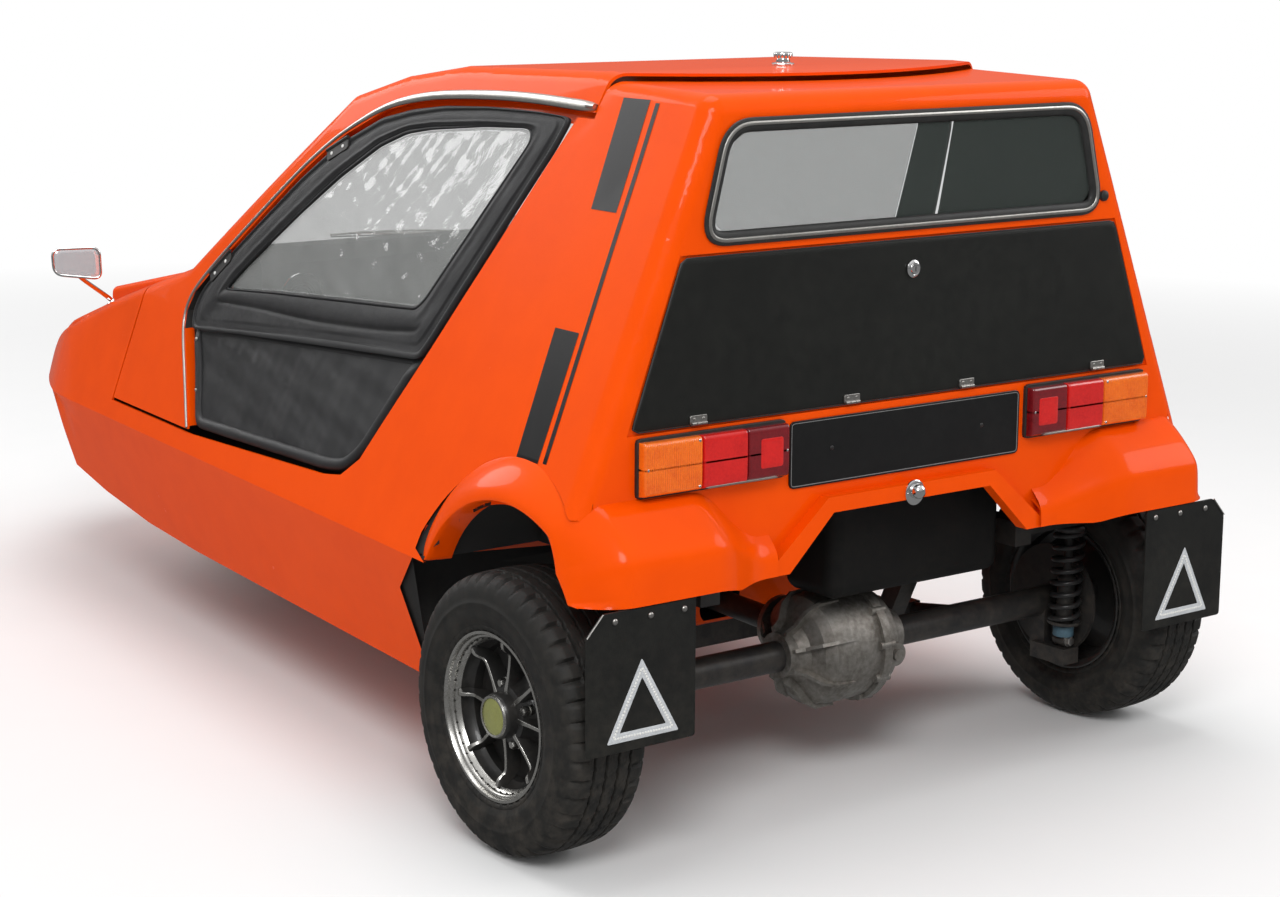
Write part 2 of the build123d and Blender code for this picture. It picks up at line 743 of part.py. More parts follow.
# Front suspension arm beside the single wheel, with its brace and spring
def front_arm():
    plan = [
        (84, -842), (130, -842), (170, -800), (252, -770), (252, -440), (210, -440),
        (210, -735), (130, -775), (84, -796),
    ]
    arm = plan_prism(plan, 296, 322)
    pivot = rod((-252, -455, 305), (290, -455, 305), 16)
    feet = joined(block(262, 290, -480, -430, 213.7, 325), block(-264, -240, -480, -430, 213.7, 325))
    pin = joined(
        rod((kingpin_x, front_axle_y, 162), (kingpin_x, front_axle_y, 300), kingpin_r),
        rod((kingpin_x, front_axle_y, 156), (kingpin_x, front_axle_y, 166), 22))
    brace = joined(
        rod((276, -455, 318), (276, -520, 574), 11), rod((276, -516, 574), (232, -657, 574), 11),
        rod((232, -661.9, 547.5), (232, -656, 578), 28))
    return joined(arm, pivot, feet, pin, brace)


save(front_arm(), "front_arm")
save(spring_unit(232, -706, 326.4, -662, 547), "front_spring")
knuckle = joined(
    rod((kingpin_x, front_axle_y, 172), (kingpin_x, front_axle_y, 290), 26),
    rod((92, front_axle_y, tyre_r), (-29.8, front_axle_y, tyre_r), stub_r),
    block(86, 110, -900, front_axle_y, 178, 196))
knuckle = less(knuckle, rod((kingpin_x, front_axle_y, 100), (kingpin_x, front_axle_y, 400), kingpin_r + seat))
save(knuckle, "front_knuckle")


# Wheels: rim with spokes and hub, and the tyre on it
def rim(centre_x, width, y, flip, hub):
    # Polished lip and barrel, a dished disc with eight windows, and eight thin radial fins in front
    s = width / 160.0
    bore = stub_r + seat
    ring = [
        (-72, 139), (-66, 139), (-62, 128), (-38, 127), (-28, 116), (30, 116), (40, 127), (62, 128),
        (66, 139), (72, 139), (72, 131), (64, 121), (40, 120), (30, 109), (-28, 109), (-38, 120),
        (-60, 121), (-72, 132),
    ]
    disc = [(-12, bore), (-12, 40), (12, 56), (12, 112), (20, 112), (20, 58), (34, 38), (40, 36), (40, bore)]
    cap = [(36, 0), (36, 36), (64, 34), (70, 28), (70, 0)]
    drum = [(hub, bore), (hub, 96), (hub + 30, 96), (hub + 34, 44), (-10, 40), (-10, bore)]
    fin = [(66, 122), (54, 103), (50, 32), (16, 32), (16, 112), (38, 122)]
    with BuildPart() as w:
        for points in (ring, disc, cap, drum):
            add(spin_x([(centre_x + flip * x * s, r) for x, r in points], y, tyre_r))
        for i in range(8):
            a = math.radians(45 * i + 41)
            across = (0, -math.sin(a), math.cos(a))
            with BuildSketch(Plane(origin=(centre_x, y, tyre_r), x_dir=(1, 0, 0), z_dir=across)):
                with BuildLine():
                    Polyline(*[(flip * x * s, -r) for x, r in fin], close=True)
                make_face()
            extrude(amount=2.5, both=True)
        for i in range(8):
            a = math.radians(45 * i + 63.5)
            corners = [(62, 0.20), (104, 0.24), (104, -0.24), (62, -0.20)]
            hole = [(y + r * math.cos(a + b), tyre_r + r * math.sin(a + b)) for r, b in corners]
            near, far = sorted((centre_x + flip * 4 * s, centre_x + flip * 30 * s))
            add(prism(hole, near, far), mode=Mode.SUBTRACT)
    return w.part


def tyre(centre_x, width, y):
    s = width / 160.0
    half = [
        (48, 140), (50, 128.4), (61.5, 128.4), (65.3, 139.4), (72.5, 139.4), (79, 156), (80, 190),
        (76, 212), (64, 226), (50, 232),
    ]
    inside = [(46, 214), (55, 206), (60, 190), (58, 165)]
    outline = half + [(-x, r) for x, r in half[::-1]] + [(-x, r) for x, r in inside[::-1]] + inside
    return spin_x([(centre_x + x * s, r) for x, r in outline], y, tyre_r)


for name, x, w, y, flip, hub in (
    ("rear_left", rear_track_x, rear_tyre_w, rear_axle_y, 1, -86),
    ("rear_right", -rear_track_x, rear_tyre_w, rear_axle_y, -1, -86),
    ("front", 0.0, front_tyre_w, front_axle_y, -1, -20),
):
    save(rim(x, w, y, flip, hub), "rim_" + name)
    save(tyre(x, w, y), "tyre_" + name)
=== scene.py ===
# Looks of a three wheeled car: an orange wedge body, soft black side screens and alloy wheels.
# Metres, +Z up, the nose points to -Y, the car's left side is +X.
import math
import bmesh
import bpy
import numpy as np
from mathutils import Matrix, Vector


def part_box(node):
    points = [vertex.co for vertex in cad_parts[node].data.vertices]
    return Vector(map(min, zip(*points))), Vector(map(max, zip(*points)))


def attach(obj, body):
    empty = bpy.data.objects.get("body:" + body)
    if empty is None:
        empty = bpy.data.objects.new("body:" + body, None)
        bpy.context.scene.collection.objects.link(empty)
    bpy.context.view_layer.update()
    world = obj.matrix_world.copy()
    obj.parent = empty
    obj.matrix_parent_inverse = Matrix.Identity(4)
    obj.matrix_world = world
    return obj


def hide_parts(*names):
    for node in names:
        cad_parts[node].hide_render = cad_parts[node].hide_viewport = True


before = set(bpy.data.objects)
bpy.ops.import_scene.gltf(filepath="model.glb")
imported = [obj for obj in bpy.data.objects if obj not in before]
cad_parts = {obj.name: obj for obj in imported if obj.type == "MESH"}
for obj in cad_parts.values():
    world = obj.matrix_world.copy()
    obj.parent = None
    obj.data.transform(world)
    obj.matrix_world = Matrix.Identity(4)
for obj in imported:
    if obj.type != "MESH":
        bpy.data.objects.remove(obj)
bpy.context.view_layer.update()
print("stage: frame loaded with", len(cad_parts), "nodes")

# Body form: half width at refZ and how fast the sides lean in, at the nose and at the rear face; the crease
# and the slopes in degrees by which the nose draws back above and below it; the nose's corners as (x, y)
side = {"noseY": -1.397, "faceY": 1.313, "halfNose": 0.456, "halfFace": 0.680, "leanNose": 0.20,
        "leanFace": 0.42, "refZ": 0.600, "crease": 0.440, "tuckAbove": 14.0, "tuckBelow": 17.0,
        "corners": [(0.215, -1.397), (0.400, -1.240), (0.535, -0.940)], "tipZ": 0.470,
        "screenFoot": (-0.316, 0.782)}
wheelSpec = {"axleZ": 0.232, "rearY": 1.137, "frontY": -0.819, "rearX": 0.650, "rearWidth": 0.160,
             "frontWidth": 0.134}
finish = {}


# Meshes from arrays

def gridFaces(rows, cols, closeRows=False, closeCols=False, start=0):
    # Quads of a rows x cols grid of points, wrapped round where asked
    r = np.arange(rows if closeRows else rows - 1)
    c = np.arange(cols if closeCols else cols - 1)
    r, c = np.meshgrid(r, c, indexing="ij")
    r1, c1 = (r + 1) % rows, (c + 1) % cols
    quads = np.stack([r * cols + c, r1 * cols + c, r1 * cols + c1, r * cols + c1], axis=-1)
    return quads.reshape(-1, 4) + start


def grid(points, closeRows=False, closeCols=False, capStart=False, capEnd=False, flip=False):
    # A surface as (points, quads, triangles) from a rows x cols x 3 array, with a fan to the middle at an end
    rows, cols = points.shape[:2]
    pts = points.reshape(-1, 3)
    quads = gridFaces(rows, cols, closeRows, closeCols)
    tris = []
    ring = np.arange(cols)
    after = (ring + 1) % cols
    if capStart:
        centre = len(pts)
        pts = np.vstack([pts, points[0].mean(axis=0)])
        tris.append(np.stack([ring, after, np.full(cols, centre)], axis=1))
    if capEnd:
        centre = len(pts)
        base = (rows - 1) * cols
        pts = np.vstack([pts, points[-1].mean(axis=0)])
        tris.append(np.stack([base + after, base + ring, np.full(cols, centre)], axis=1))
    tris = np.vstack(tris) if tris else np.zeros((0, 3), int)
    if flip:
        quads, tris = quads[:, ::-1], tris[:, ::-1]
    return pts, quads, tris


def moved(shape, matrix=None, offset=(0, 0, 0)):
    pts, quads, tris = shape
    if matrix is not None:
        pts = pts @ np.array(matrix).T
    return pts + np.array(offset), quads, tris


def mirrored(shape):
    pts, quads, tris = shape
    return pts * np.array([-1.0, 1.0, 1.0]), quads[:, ::-1], tris[:, ::-1]


def joinShapes(shapes):
    pts, quads, tris, n = [], [], [], 0
    for p, q, t in shapes:
        pts.append(p)
        quads.append(q + n)
        tris.append(t + n)
        n += len(p)
    return np.vstack(pts), np.vstack(quads), np.vstack(tris)


def newObject(name, data):
    obj = bpy.data.objects.new(name, data)
    bpy.context.scene.collection.objects.link(obj)
    return obj


def putPiece(name, shapes, material, body, slot, replaces=(), sharp=35.0, outward=True):
    # One object from one or more shapes, its normals pointing out, riding on a body
    pts, quads, tris = joinShapes(shapes if isinstance(shapes, list) else [shapes])
    mesh = bpy.data.meshes.new(name)
    loops = np.concatenate([quads.ravel(), tris.ravel()]).astype(np.int32)
    totals = np.concatenate([np.full(len(quads), 4), np.full(len(tris), 3)]).astype(np.int32)
    starts = np.concatenate([[0], np.cumsum(totals)[:-1]]).astype(np.int32)
    mesh.vertices.add(len(pts))
    mesh.vertices.foreach_set("co", pts.astype(np.float32).ravel())
    mesh.loops.add(len(loops))
    mesh.loops.foreach_set("vertex_index", loops)
    mesh.polygons.add(len(totals))
    mesh.polygons.foreach_set("loop_start", starts)
    mesh.polygons.foreach_set("loop_total", totals)
    mesh.update(calc_edges=True)
    mesh.validate()
    obj = newObject(name, mesh)
    if outward:
        bm = bmesh.new()
        bm.from_mesh(mesh)
        bmesh.ops.remove_doubles(bm, verts=bm.verts, dist=1e-6)
        bmesh.ops.recalc_face_normals(bm, faces=bm.faces)
        bm.to_mesh(mesh)
        bm.free()
    mesh.shade_smooth()
    mesh.set_sharp_from_angle(angle=math.radians(sharp))
    mesh.materials.append(finish[material])
    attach(obj, body)
    if replaces:
        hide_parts(*replaces)
    return obj


def putPair(name, shapes, material, body, slot, replaced="", **settings):
    # The left piece and its mirror image on the right; {} in a name stands for the hand
    shapes = shapes if isinstance(shapes, list) else [shapes]
    pair = {}
    for hand, turn in (("left", lambda shape: shape), ("right", mirrored)):
        nodes = (replaced.format(hand),) if replaced else ()
        pair[hand] = putPiece(name.format(hand), [turn(shape) for shape in shapes], material,
                              body.format(hand), slot, nodes, **settings)
    return pair


def addModifier(obj, kind, **settings):
    modifier = obj.modifiers.new(kind.title(), kind)
    for key, value in settings.items():
        setattr(modifier, key, value)
    return modifier


# Lines and outlines

def roundedLoop(points, radius, count):
    # A closed outline with its corners turned into curves, as count evenly spaced points
    pts = np.array(points, float)
    n = len(pts)
    radii = np.full(n, radius) if np.isscalar(radius) else np.array(radius, float)
    line = []
    for i in range(n):
        here, back, ahead = pts[i], pts[i - 1], pts[(i + 1) % n]
        toBack, toAhead = back - here, ahead - here
        lenBack, lenAhead = np.linalg.norm(toBack), np.linalg.norm(toAhead)
        cut = min(radii[i], 0.48 * lenBack, 0.48 * lenAhead)
        a = here + toBack / lenBack * cut
        b = here + toAhead / lenAhead * cut
        t = np.linspace(0, 1, 9)[:, None]
        line.append((1 - t) ** 2 * a + 2 * t * (1 - t) * here + t ** 2 * b)
    return evenly(np.vstack(line), count, True)


def evenly(line, count, closed=False):
    # count points at equal steps along a line
    line = np.array(line, float)
    if closed:
        line = np.vstack([line, line[:1]])
    steps = np.linalg.norm(np.diff(line, axis=0), axis=1)
    keep = np.concatenate([[True], steps > 1e-9])
    line, steps = line[keep], steps[steps > 1e-9]
    along = np.concatenate([[0], np.cumsum(steps)])
    want = np.linspace(0, along[-1], count, endpoint=not closed)
    return np.stack([np.interp(want, along, line[:, k]) for k in range(line.shape[1])], axis=1)


def softLine(points, count, rounds=3):
    # An open line with its corners cut three times, then spaced evenly
    line = np.array(points, float)
    for _ in range(rounds):
        a = line[:-1] * 0.75 + line[1:] * 0.25
        b = line[:-1] * 0.25 + line[1:] * 0.75
        line = np.vstack([line[:1], np.stack([a, b], axis=1).reshape(-1, line.shape[1]), line[-1:]])
    return evenly(line, count)


def inwardNormals(loop):
    # Unit normals in the outline's own plane, pointing into it
    ahead = np.roll(loop, -1, axis=0) - np.roll(loop, 1, axis=0)
    normals = np.stack([-ahead[:, 1], ahead[:, 0]], axis=1)
    normals /= np.linalg.norm(normals, axis=1)[:, None] + 1e-12
    area = np.sum(loop[:, 0] * np.roll(loop[:, 1], -1) - np.roll(loop[:, 0], -1) * loop[:, 1])
    return normals if area > 0 else -normals


def sideAt(y):
    # Half width of the body at refZ, and the lean of its sides, at a place along the car
    t = (y - side["noseY"]) / (side["faceY"] - side["noseY"])
    half = side["halfNose"] + (side["halfFace"] - side["halfNose"]) * t
    return half, side["leanNose"] + (side["leanFace"] - side["leanNose"]) * t


def onSide(y, z, lift=0.0):
    # A point of the left body side, lifted off it along its normal
    half, lean = sideAt(y)
    length = np.hypot(1.0, lean)
    x = half - lean * (z - side["refZ"]) + lift / length
    return np.stack([x, y + 0 * x, z + lift * lean / length + 0 * x], axis=-1)


def onRear(x, z, lift=0.0):
    # A point of the flat rear face, lifted backwards
    return np.stack([x, side["faceY"] + lift + 0 * x, z + 0 * x], axis=-1)


def loopStack(loop, rows, place, fill=6, base=False, bump=None):
    # Copies of an outline, each (inset, height), joined as a skin and closed towards its middle
    normals = inwardNormals(loop)
    middle = loop.mean(axis=0)
    layers = []
    for inset, height in rows:
        flat = loop + normals * inset
        layers.append(place(flat[:, 0], flat[:, 1], np.full(len(flat), height)))
    if fill:
        inset, height = rows[-1]
        last = loop + normals * inset
        for k in range(1, fill):
            flat = middle + (last - middle) * (1 - k / fill)
            lift = np.full(len(flat), height)
            if bump is not None:
                lift = lift + bump(flat[:, 0], flat[:, 1])
            layers.append(place(flat[:, 0], flat[:, 1], lift))
    return grid(np.array(layers), closeCols=True, capStart=base, capEnd=bool(fill))


def sweepLoop(loop, profile, place):
    # A closed moulding: a closed profile of (inset, height) points carried round an outline
    normals = inwardNormals(loop)
    rows = []
    for inset, height in profile:
        flat = loop + normals * inset
        rows.append(place(flat[:, 0], flat[:, 1], np.full(len(flat), height)))
    return grid(np.array(rows), closeRows=True, closeCols=True)


def tube(path, radius, sides=12, closed=False):
    # A round bar along a path of points; radius may change along it
    path = np.array(path, float)
    radius = np.broadcast_to(np.array(radius, float), (len(path),))
    if closed:
        ahead = np.roll(path, -1, axis=0) - np.roll(path, 1, axis=0)
    else:
        ahead = np.gradient(path, axis=0)
    ahead /= np.linalg.norm(ahead, axis=1)[:, None]
    normal = np.cross(ahead[0], [0.31, 0.52, 0.79])
    normal /= np.linalg.norm(normal)
    frames = []
    for direction in ahead:
        normal = normal - direction * (normal @ direction)
        normal /= np.linalg.norm(normal)
        frames.append((normal, np.cross(direction, normal)))
    frames = np.array(frames)
    a = np.linspace(0, 2 * np.pi, sides, endpoint=False)
    ring = np.cos(a)[None, :, None] * frames[:, 0, None, :] + np.sin(a)[None, :, None] * frames[:, 1, None, :]
    points = path[:, None, :] + ring * radius[:, None, None]
    return grid(points, closeRows=closed, closeCols=True, capStart=not closed, capEnd=not closed)


def turned(profile, origin, axis, steps=48, close=False):
    # A profile of (distance along the axis, radius) turned about an axis through origin
    axis = np.array(axis, float)
    axis /= np.linalg.norm(axis)
    u = np.cross(axis, [0.37, 0.11, 0.92])
    u /= np.linalg.norm(u)
    v = np.cross(axis, u)
    a = np.linspace(0, 2 * np.pi, steps, endpoint=False)
    ring = np.cos(a)[:, None] * u + np.sin(a)[:, None] * v
    rows = [np.array(origin) + axis * s + ring * r for s, r in profile]
    return grid(np.array(rows), closeRows=close, closeCols=True, capStart=not close, capEnd=not close)


def bolt(origin, axis, radius, height, sides=6):
    # A hexagon head with a rounded crown
    return turned([(0, radius), (height * 0.8, radius), (height, radius * 0.8),
                   (height * 1.05, radius * 0.4)], origin, axis, sides)


def screwHead(origin, axis, radius, height):
    # A domed head: a quarter circle turned about its axis
    a = np.linspace(0, np.pi / 2 * 0.94, 5)
    return turned([(-height * 0.2, radius)] + [(height * math.sin(t), radius * math.cos(t)) for t in a],
                  origin, axis, 16)


def ripple(a, b, scale, seed=0.0):
    # Smooth uneven waves from a few sines, between about -1 and 1
    total = 0.0
    for k in range(1, 5):
        angle = 1.7 * k + seed
        phase = (a * math.cos(angle) + b * math.sin(angle)) / scale * (0.7 + 0.45 * k)
        total = total + np.sin(phase * 2 * np.pi + seed * k * 1.3) / k
    return total / 1.7


# Shader nodes and the groups shared by the materials

def addNode(tree, kind, inputs, **settings):
    # A node with its settings; each input takes a constant, or a link where it is given a socket
    node = tree.nodes.new("ShaderNode" + kind)
    for key, value in settings.items():
        setattr(node, key, value)
    for label, value in inputs.items():
        if hasattr(value, "is_linked"):
            tree.links.new(value, node.inputs[label])
        else:
            node.inputs[label].default_value = value
    return node


def groupWith(name, inputs, outputs):
    group = bpy.data.node_groups.new(name, "ShaderNodeTree")
    for label, kind, value in inputs:
        socket = group.interface.new_socket(name=label, in_out="INPUT", socket_type="NodeSocket" + kind)
        socket.default_value = value
    for label, kind in outputs:
        group.interface.new_socket(name=label, in_out="OUTPUT", socket_type="NodeSocket" + kind)
    given = group.nodes.new("NodeGroupInput").outputs
    out = group.nodes.new("NodeGroupOutput").inputs
    return group, given, out, addNode(group, "TexCoord", {}).outputs["Object"]


def noiseNode(tree, vector, scale, detail=4.0, rough=0.55):
    inputs = {"Vector": vector, "Scale": scale, "Detail": detail, "Roughness": rough}
    return addNode(tree, "TexNoise", inputs).outputs["Fac"]


def mathNode(tree, operation, a, b, clamp=False):
    return addNode(tree, "Math", {0: a, 1: b}, operation=operation, use_clamp=clamp).outputs[0]


def rangeNode(tree, value, fromLow, fromHigh, toLow=0.0, toHigh=1.0):
    inputs = {"Value": value, "From Min": fromLow, "From Max": fromHigh, "To Min": toLow, "To Max": toHigh}
    return addNode(tree, "MapRange", inputs, clamp=True).outputs["Result"]


def mixColour(tree, factor, a, b):
    return addNode(tree, "Mix", {0: factor, 6: a, 7: b}, data_type="RGBA").outputs[2]


def mixShader(tree, factor, a, b):
    return addNode(tree, "MixShader", {0: factor, 1: a, 2: b}).outputs[0]


def makeDrift():
    # Slow change of colour and roughness over a surface, two noises of different size
    group, given, out, place = groupWith(
        "surfaceDrift",
        [("Colour", "Color", (0.5, 0.5, 0.5, 1)), ("Second", "Color", (0.4, 0.4, 0.4, 1)),
         ("Scale", "Float", 4.0), ("Roughness", "Float", 0.4), ("Spread", "Float", 0.1)],
        [("Colour", "Color"), ("Roughness", "Float")])
    slow = noiseNode(group, place, given["Scale"], 3.0)
    fast = noiseNode(group, place, mathNode(group, "MULTIPLY", given["Scale"], 9.0), 5.0)
    mask = rangeNode(group, mathNode(group, "MULTIPLY", slow, fast), 0.12, 0.42)
    group.links.new(mixColour(group, mask, given["Colour"], given["Second"]), out["Colour"])
    rough = mathNode(group, "MULTIPLY", mathNode(group, "SUBTRACT", fast, 0.5), given["Spread"])
    group.links.new(mathNode(group, "ADD", given["Roughness"], rough, True), out["Roughness"])
    return group


def makeGrain():
    # Leathery grain: cell edges broken up by fine noise, as a height
    group, given, out, place = groupWith("vinylGrain", [("Scale", "Float", 500.0), ("Fine", "Float", 0.4)],
                                         [("Height", "Float")])
    cells = addNode(group, "TexVoronoi", {}, feature="DISTANCE_TO_EDGE")
    group.links.new(given["Scale"], cells.inputs["Scale"])
    group.links.new(place, cells.inputs["Vector"])
    fine = noiseNode(group, place, mathNode(group, "MULTIPLY", given["Scale"], 2.3), 3.0)
    edge = rangeNode(group, cells.outputs["Distance"], 0.0, 0.35)
    height = mathNode(group, "ADD", edge, mathNode(group, "MULTIPLY", fine, given["Fine"]))
    group.links.new(height, out["Height"])
    return group


def makeDust():
    # Road dust that thickens towards the ground, broken up by noise
    group, given, out, place = groupWith(
        "roadDust", [("Low", "Float", 0.0), ("High", "Float", 0.45), ("Amount", "Float", 0.4)],
        [("Mask", "Float")])
    split = addNode(group, "SeparateXYZ", {0: place})
    height = rangeNode(group, split.outputs["Z"], given["Low"], given["High"], 1.0, 0.0)
    patches = rangeNode(group, noiseNode(group, place, 34.0, 6.0, 0.7), 0.42, 0.68)
    mask = mathNode(group, "MULTIPLY", mathNode(group, "MULTIPLY", height, patches), given["Amount"])
    group.links.new(mask, out["Mask"])
    return group


shared = {"drift": makeDrift(), "grain": makeGrain(), "dust": makeDust()}
dustColour = (0.16, 0.13, 0.10, 1)


def makeMaterial(name, colour, second=None, driftScale=4.0, roughness=0.4, spread=0.1, metallic=0.0, coat=0.0,
                 coatRoughness=0.05, grain=0.0, grainScale=500.0, noise=0.0, noiseScale=200.0, dust=0.0,
                 dustHigh=0.45, transmission=0.0, sheen=0.0, alpha=1.0, specular=0.5):
    # A Principled surface fed by the shared groups; noise and grain are bump heights in millimetres
    material = bpy.data.materials.new(name)
    material.use_nodes = True
    tree = material.node_tree
    shader = tree.nodes["Principled BSDF"].inputs
    for label, value in (("Metallic", metallic), ("Coat Weight", coat), ("Coat Roughness", coatRoughness),
                         ("Transmission Weight", transmission), ("IOR", 1.45), ("Sheen Weight", sheen),
                         ("Specular IOR Level", specular), ("Alpha", alpha)):
        shader[label].default_value = value
    drift = addNode(tree, "Group", {}, node_tree=shared["drift"])
    for label, value in (("Colour", (*colour, 1)), ("Second", (*(second or [c * 0.82 for c in colour]), 1)),
                         ("Scale", driftScale), ("Roughness", roughness), ("Spread", spread)):
        drift.inputs[label].default_value = value
    colourOut = drift.outputs["Colour"]
    if dust:
        dusty = addNode(tree, "Group", {}, node_tree=shared["dust"])
        dusty.inputs["High"].default_value = dustHigh
        dusty.inputs["Amount"].default_value = dust
        colourOut = mixColour(tree, dusty.outputs["Mask"], colourOut, dustColour)
    tree.links.new(colourOut, shader["Base Color"])
    tree.links.new(drift.outputs["Roughness"], shader["Roughness"])
    if grain or noise:
        if grain:
            grained = addNode(tree, "Group", {}, node_tree=shared["grain"])
            grained.inputs["Scale"].default_value = grainScale
            height, depth = grained.outputs["Height"], grain
        else:
            place = addNode(tree, "TexCoord", {}).outputs["Object"]
            height, depth = noiseNode(tree, place, noiseScale, 5.0), noise
        bump = addNode(tree, "Bump", {"Distance": depth / 1000.0, "Height": height})
        tree.links.new(bump.outputs["Normal"], shader["Normal"])
    finish[name] = material
    return material


makeMaterial("bodyPaint", (0.81, 0.074, 0.0005), (0.76, 0.066, 0.0005), 1.6, 0.26, 0.06, coat=0.18,
             coatRoughness=0.03, noise=0.04, noiseScale=40.0, dust=0.05, dustHigh=0.42, specular=0.04)
makeMaterial("innerSkin", (0.012, 0.0115, 0.011), (0.020, 0.018, 0.016), 8.0, 0.80, 0.1, noise=0.35,
             noiseScale=240.0)
makeMaterial("blackVinyl", (0.014, 0.014, 0.015), (0.021, 0.021, 0.022), 7.0, 0.48, 0.14, grain=0.16,
             grainScale=620.0, specular=0.35)
# Near black: the real colour of the dial faces, and the painted shade of the key slot
makeMaterial("lensGap", (0.006, 0.006, 0.006), (0.010, 0.010, 0.010), 40.0, 0.6, 0.1)
makeMaterial("plateEdge", (0.20, 0.20, 0.20), (0.14, 0.14, 0.14), 60.0, 0.5, 0.1)
makeMaterial("flapRubber", (0.008, 0.008, 0.0075), (0.014, 0.014, 0.012), 9.0, 0.52, 0.16, noise=0.16,
             noiseScale=300.0, dust=0.14, specular=0.3)
makeMaterial("threadBlack", (0.045, 0.045, 0.045), (0.06, 0.06, 0.06), 60.0, 0.55, 0.1)
makeMaterial("seatVinyl", (0.022, 0.021, 0.021), (0.032, 0.031, 0.030), 6.0, 0.50, 0.12, grain=0.22,
             grainScale=420.0)
makeMaterial("panelBlack", (0.0075, 0.008, 0.0072), (0.0115, 0.012, 0.0105), 5.0, 0.42, 0.10, grain=0.06,
             grainScale=900.0, specular=0.3)
makeMaterial("blackMoulding", (0.018, 0.018, 0.018), (0.028, 0.027, 0.026), 5.0, 0.72, 0.15, noise=0.30,
             noiseScale=420.0, dust=0.25)
makeMaterial("blackPaint", (0.014, 0.014, 0.015), (0.030, 0.027, 0.024), 9.0, 0.42, 0.25, noise=0.12,
             noiseScale=260.0, dust=0.35)
makeMaterial("tankBlack", (0.005, 0.005, 0.005), (0.010, 0.009, 0.008), 9.0, 0.55, 0.2, noise=0.2,
             noiseScale=180.0, specular=0.2)
makeMaterial("castAlloy", (0.36, 0.345, 0.32), (0.17, 0.155, 0.135), 11.0, 0.52, 0.25, metallic=0.85,
             noise=0.35, noiseScale=520.0, dust=0.25)
makeMaterial("springBlack", (0.013, 0.013, 0.014), (0.022, 0.021, 0.020), 20.0, 0.34, 0.15)
makeMaterial("sleeveBlue", (0.06, 0.12, 0.16), (0.04, 0.07, 0.09), 30.0, 0.45, 0.1)
makeMaterial("engineGrey", (0.11, 0.11, 0.105), (0.05, 0.048, 0.045), 9.0, 0.62, 0.2, metallic=0.5, noise=0.4,
             noiseScale=300.0)
makeMaterial("exhaustSteel", (0.22, 0.19, 0.165), (0.12, 0.085, 0.06), 12.0, 0.55, 0.2, metallic=0.8,
             noise=0.2, noiseScale=300.0)
makeMaterial("rubber", (0.013, 0.013, 0.013), (0.024, 0.024, 0.023), 10.0, 0.50, 0.15, noise=0.08,
             noiseScale=500.0)
makeMaterial("tyreRubber", (0.010, 0.010, 0.0095), (0.018, 0.017, 0.015), 9.0, 0.64, 0.16, noise=0.10,
             noiseScale=420.0, dust=0.20, dustHigh=0.52, specular=0.35)
makeMaterial("chrome", (0.80, 0.80, 0.80), (0.74, 0.74, 0.74), 30.0, 0.07, 0.05, metallic=1.0)
makeMaterial("mirrorGlass", (0.70, 0.72, 0.74), (0.64, 0.66, 0.69), 10.0, 0.05, 0.0, metallic=0.45)
makeMaterial("alloyTrim", (0.60, 0.585, 0.55), (0.47, 0.455, 0.43), 14.0, 0.34, 0.16, metallic=1.0,
             noise=0.03, noiseScale=700.0)
makeMaterial("rimLip", (0.62, 0.61, 0.585), (0.48, 0.47, 0.44), 24.0, 0.27, 0.14, metallic=1.0, noise=0.03,
             noiseScale=900.0)
makeMaterial("rimBlack", (0.012, 0.012, 0.012), (0.022, 0.021, 0.020), 16.0, 0.38, 0.14, coat=0.25,
             noise=0.10, noiseScale=420.0, dust=0.12)
makeMaterial("capGold", (0.30, 0.31, 0.10), (0.22, 0.23, 0.07), 40.0, 0.42, 0.1, metallic=0.3, coat=0.4)
makeMaterial("satinSteel", (0.50, 0.49, 0.47), (0.36, 0.34, 0.32), 30.0, 0.38, 0.15, metallic=1.0)
makeMaterial("lensAmber", (0.82, 0.17, 0.010), (0.70, 0.11, 0.006), 26.0, 0.14, 0.06, coat=0.8)
makeMaterial("lensRed", (0.60, 0.010, 0.008), (0.46, 0.005, 0.005), 26.0, 0.12, 0.05, coat=0.8)
makeMaterial("lensDark", (0.17, 0.004, 0.008), (0.11, 0.002, 0.005), 26.0, 0.14, 0.05, coat=0.8)
makeMaterial("lensClear", (0.84, 0.86, 0.87), (0.80, 0.82, 0.84), 20.0, 0.06, 0.02, transmission=0.75)
makeMaterial("glass", (0.10, 0.12, 0.11), (0.09, 0.11, 0.10), 3.0, 0.02, 0.0, alpha=0.20, specular=1.0)
makeMaterial("clearSheet", (0.42, 0.43, 0.42), (0.34, 0.35, 0.34), 8.0, 0.08, 0.05, alpha=0.34, specular=1.0,
             noise=2.2, noiseScale=13.0)
makeMaterial("plateBlack", (0.006, 0.006, 0.0063), (0.009, 0.009, 0.009), 9.0, 0.30, 0.05, coat=0.15,
             specular=0.3)
makeMaterial("reflector", (0.66, 0.68, 0.70), (0.52, 0.54, 0.56), 90.0, 0.30, 0.1, metallic=0.25, grain=0.25,
             grainScale=360.0)
makeMaterial("stripeBlack", (0.007, 0.007, 0.0075), (0.010, 0.010, 0.010), 6.0, 0.30, 0.05, coat=0.15,
             specular=0.3)
makeMaterial("dialWhite", (0.75, 0.75, 0.72), None, 20.0, 0.4, 0.05)
print("stage: materials made", len(finish))

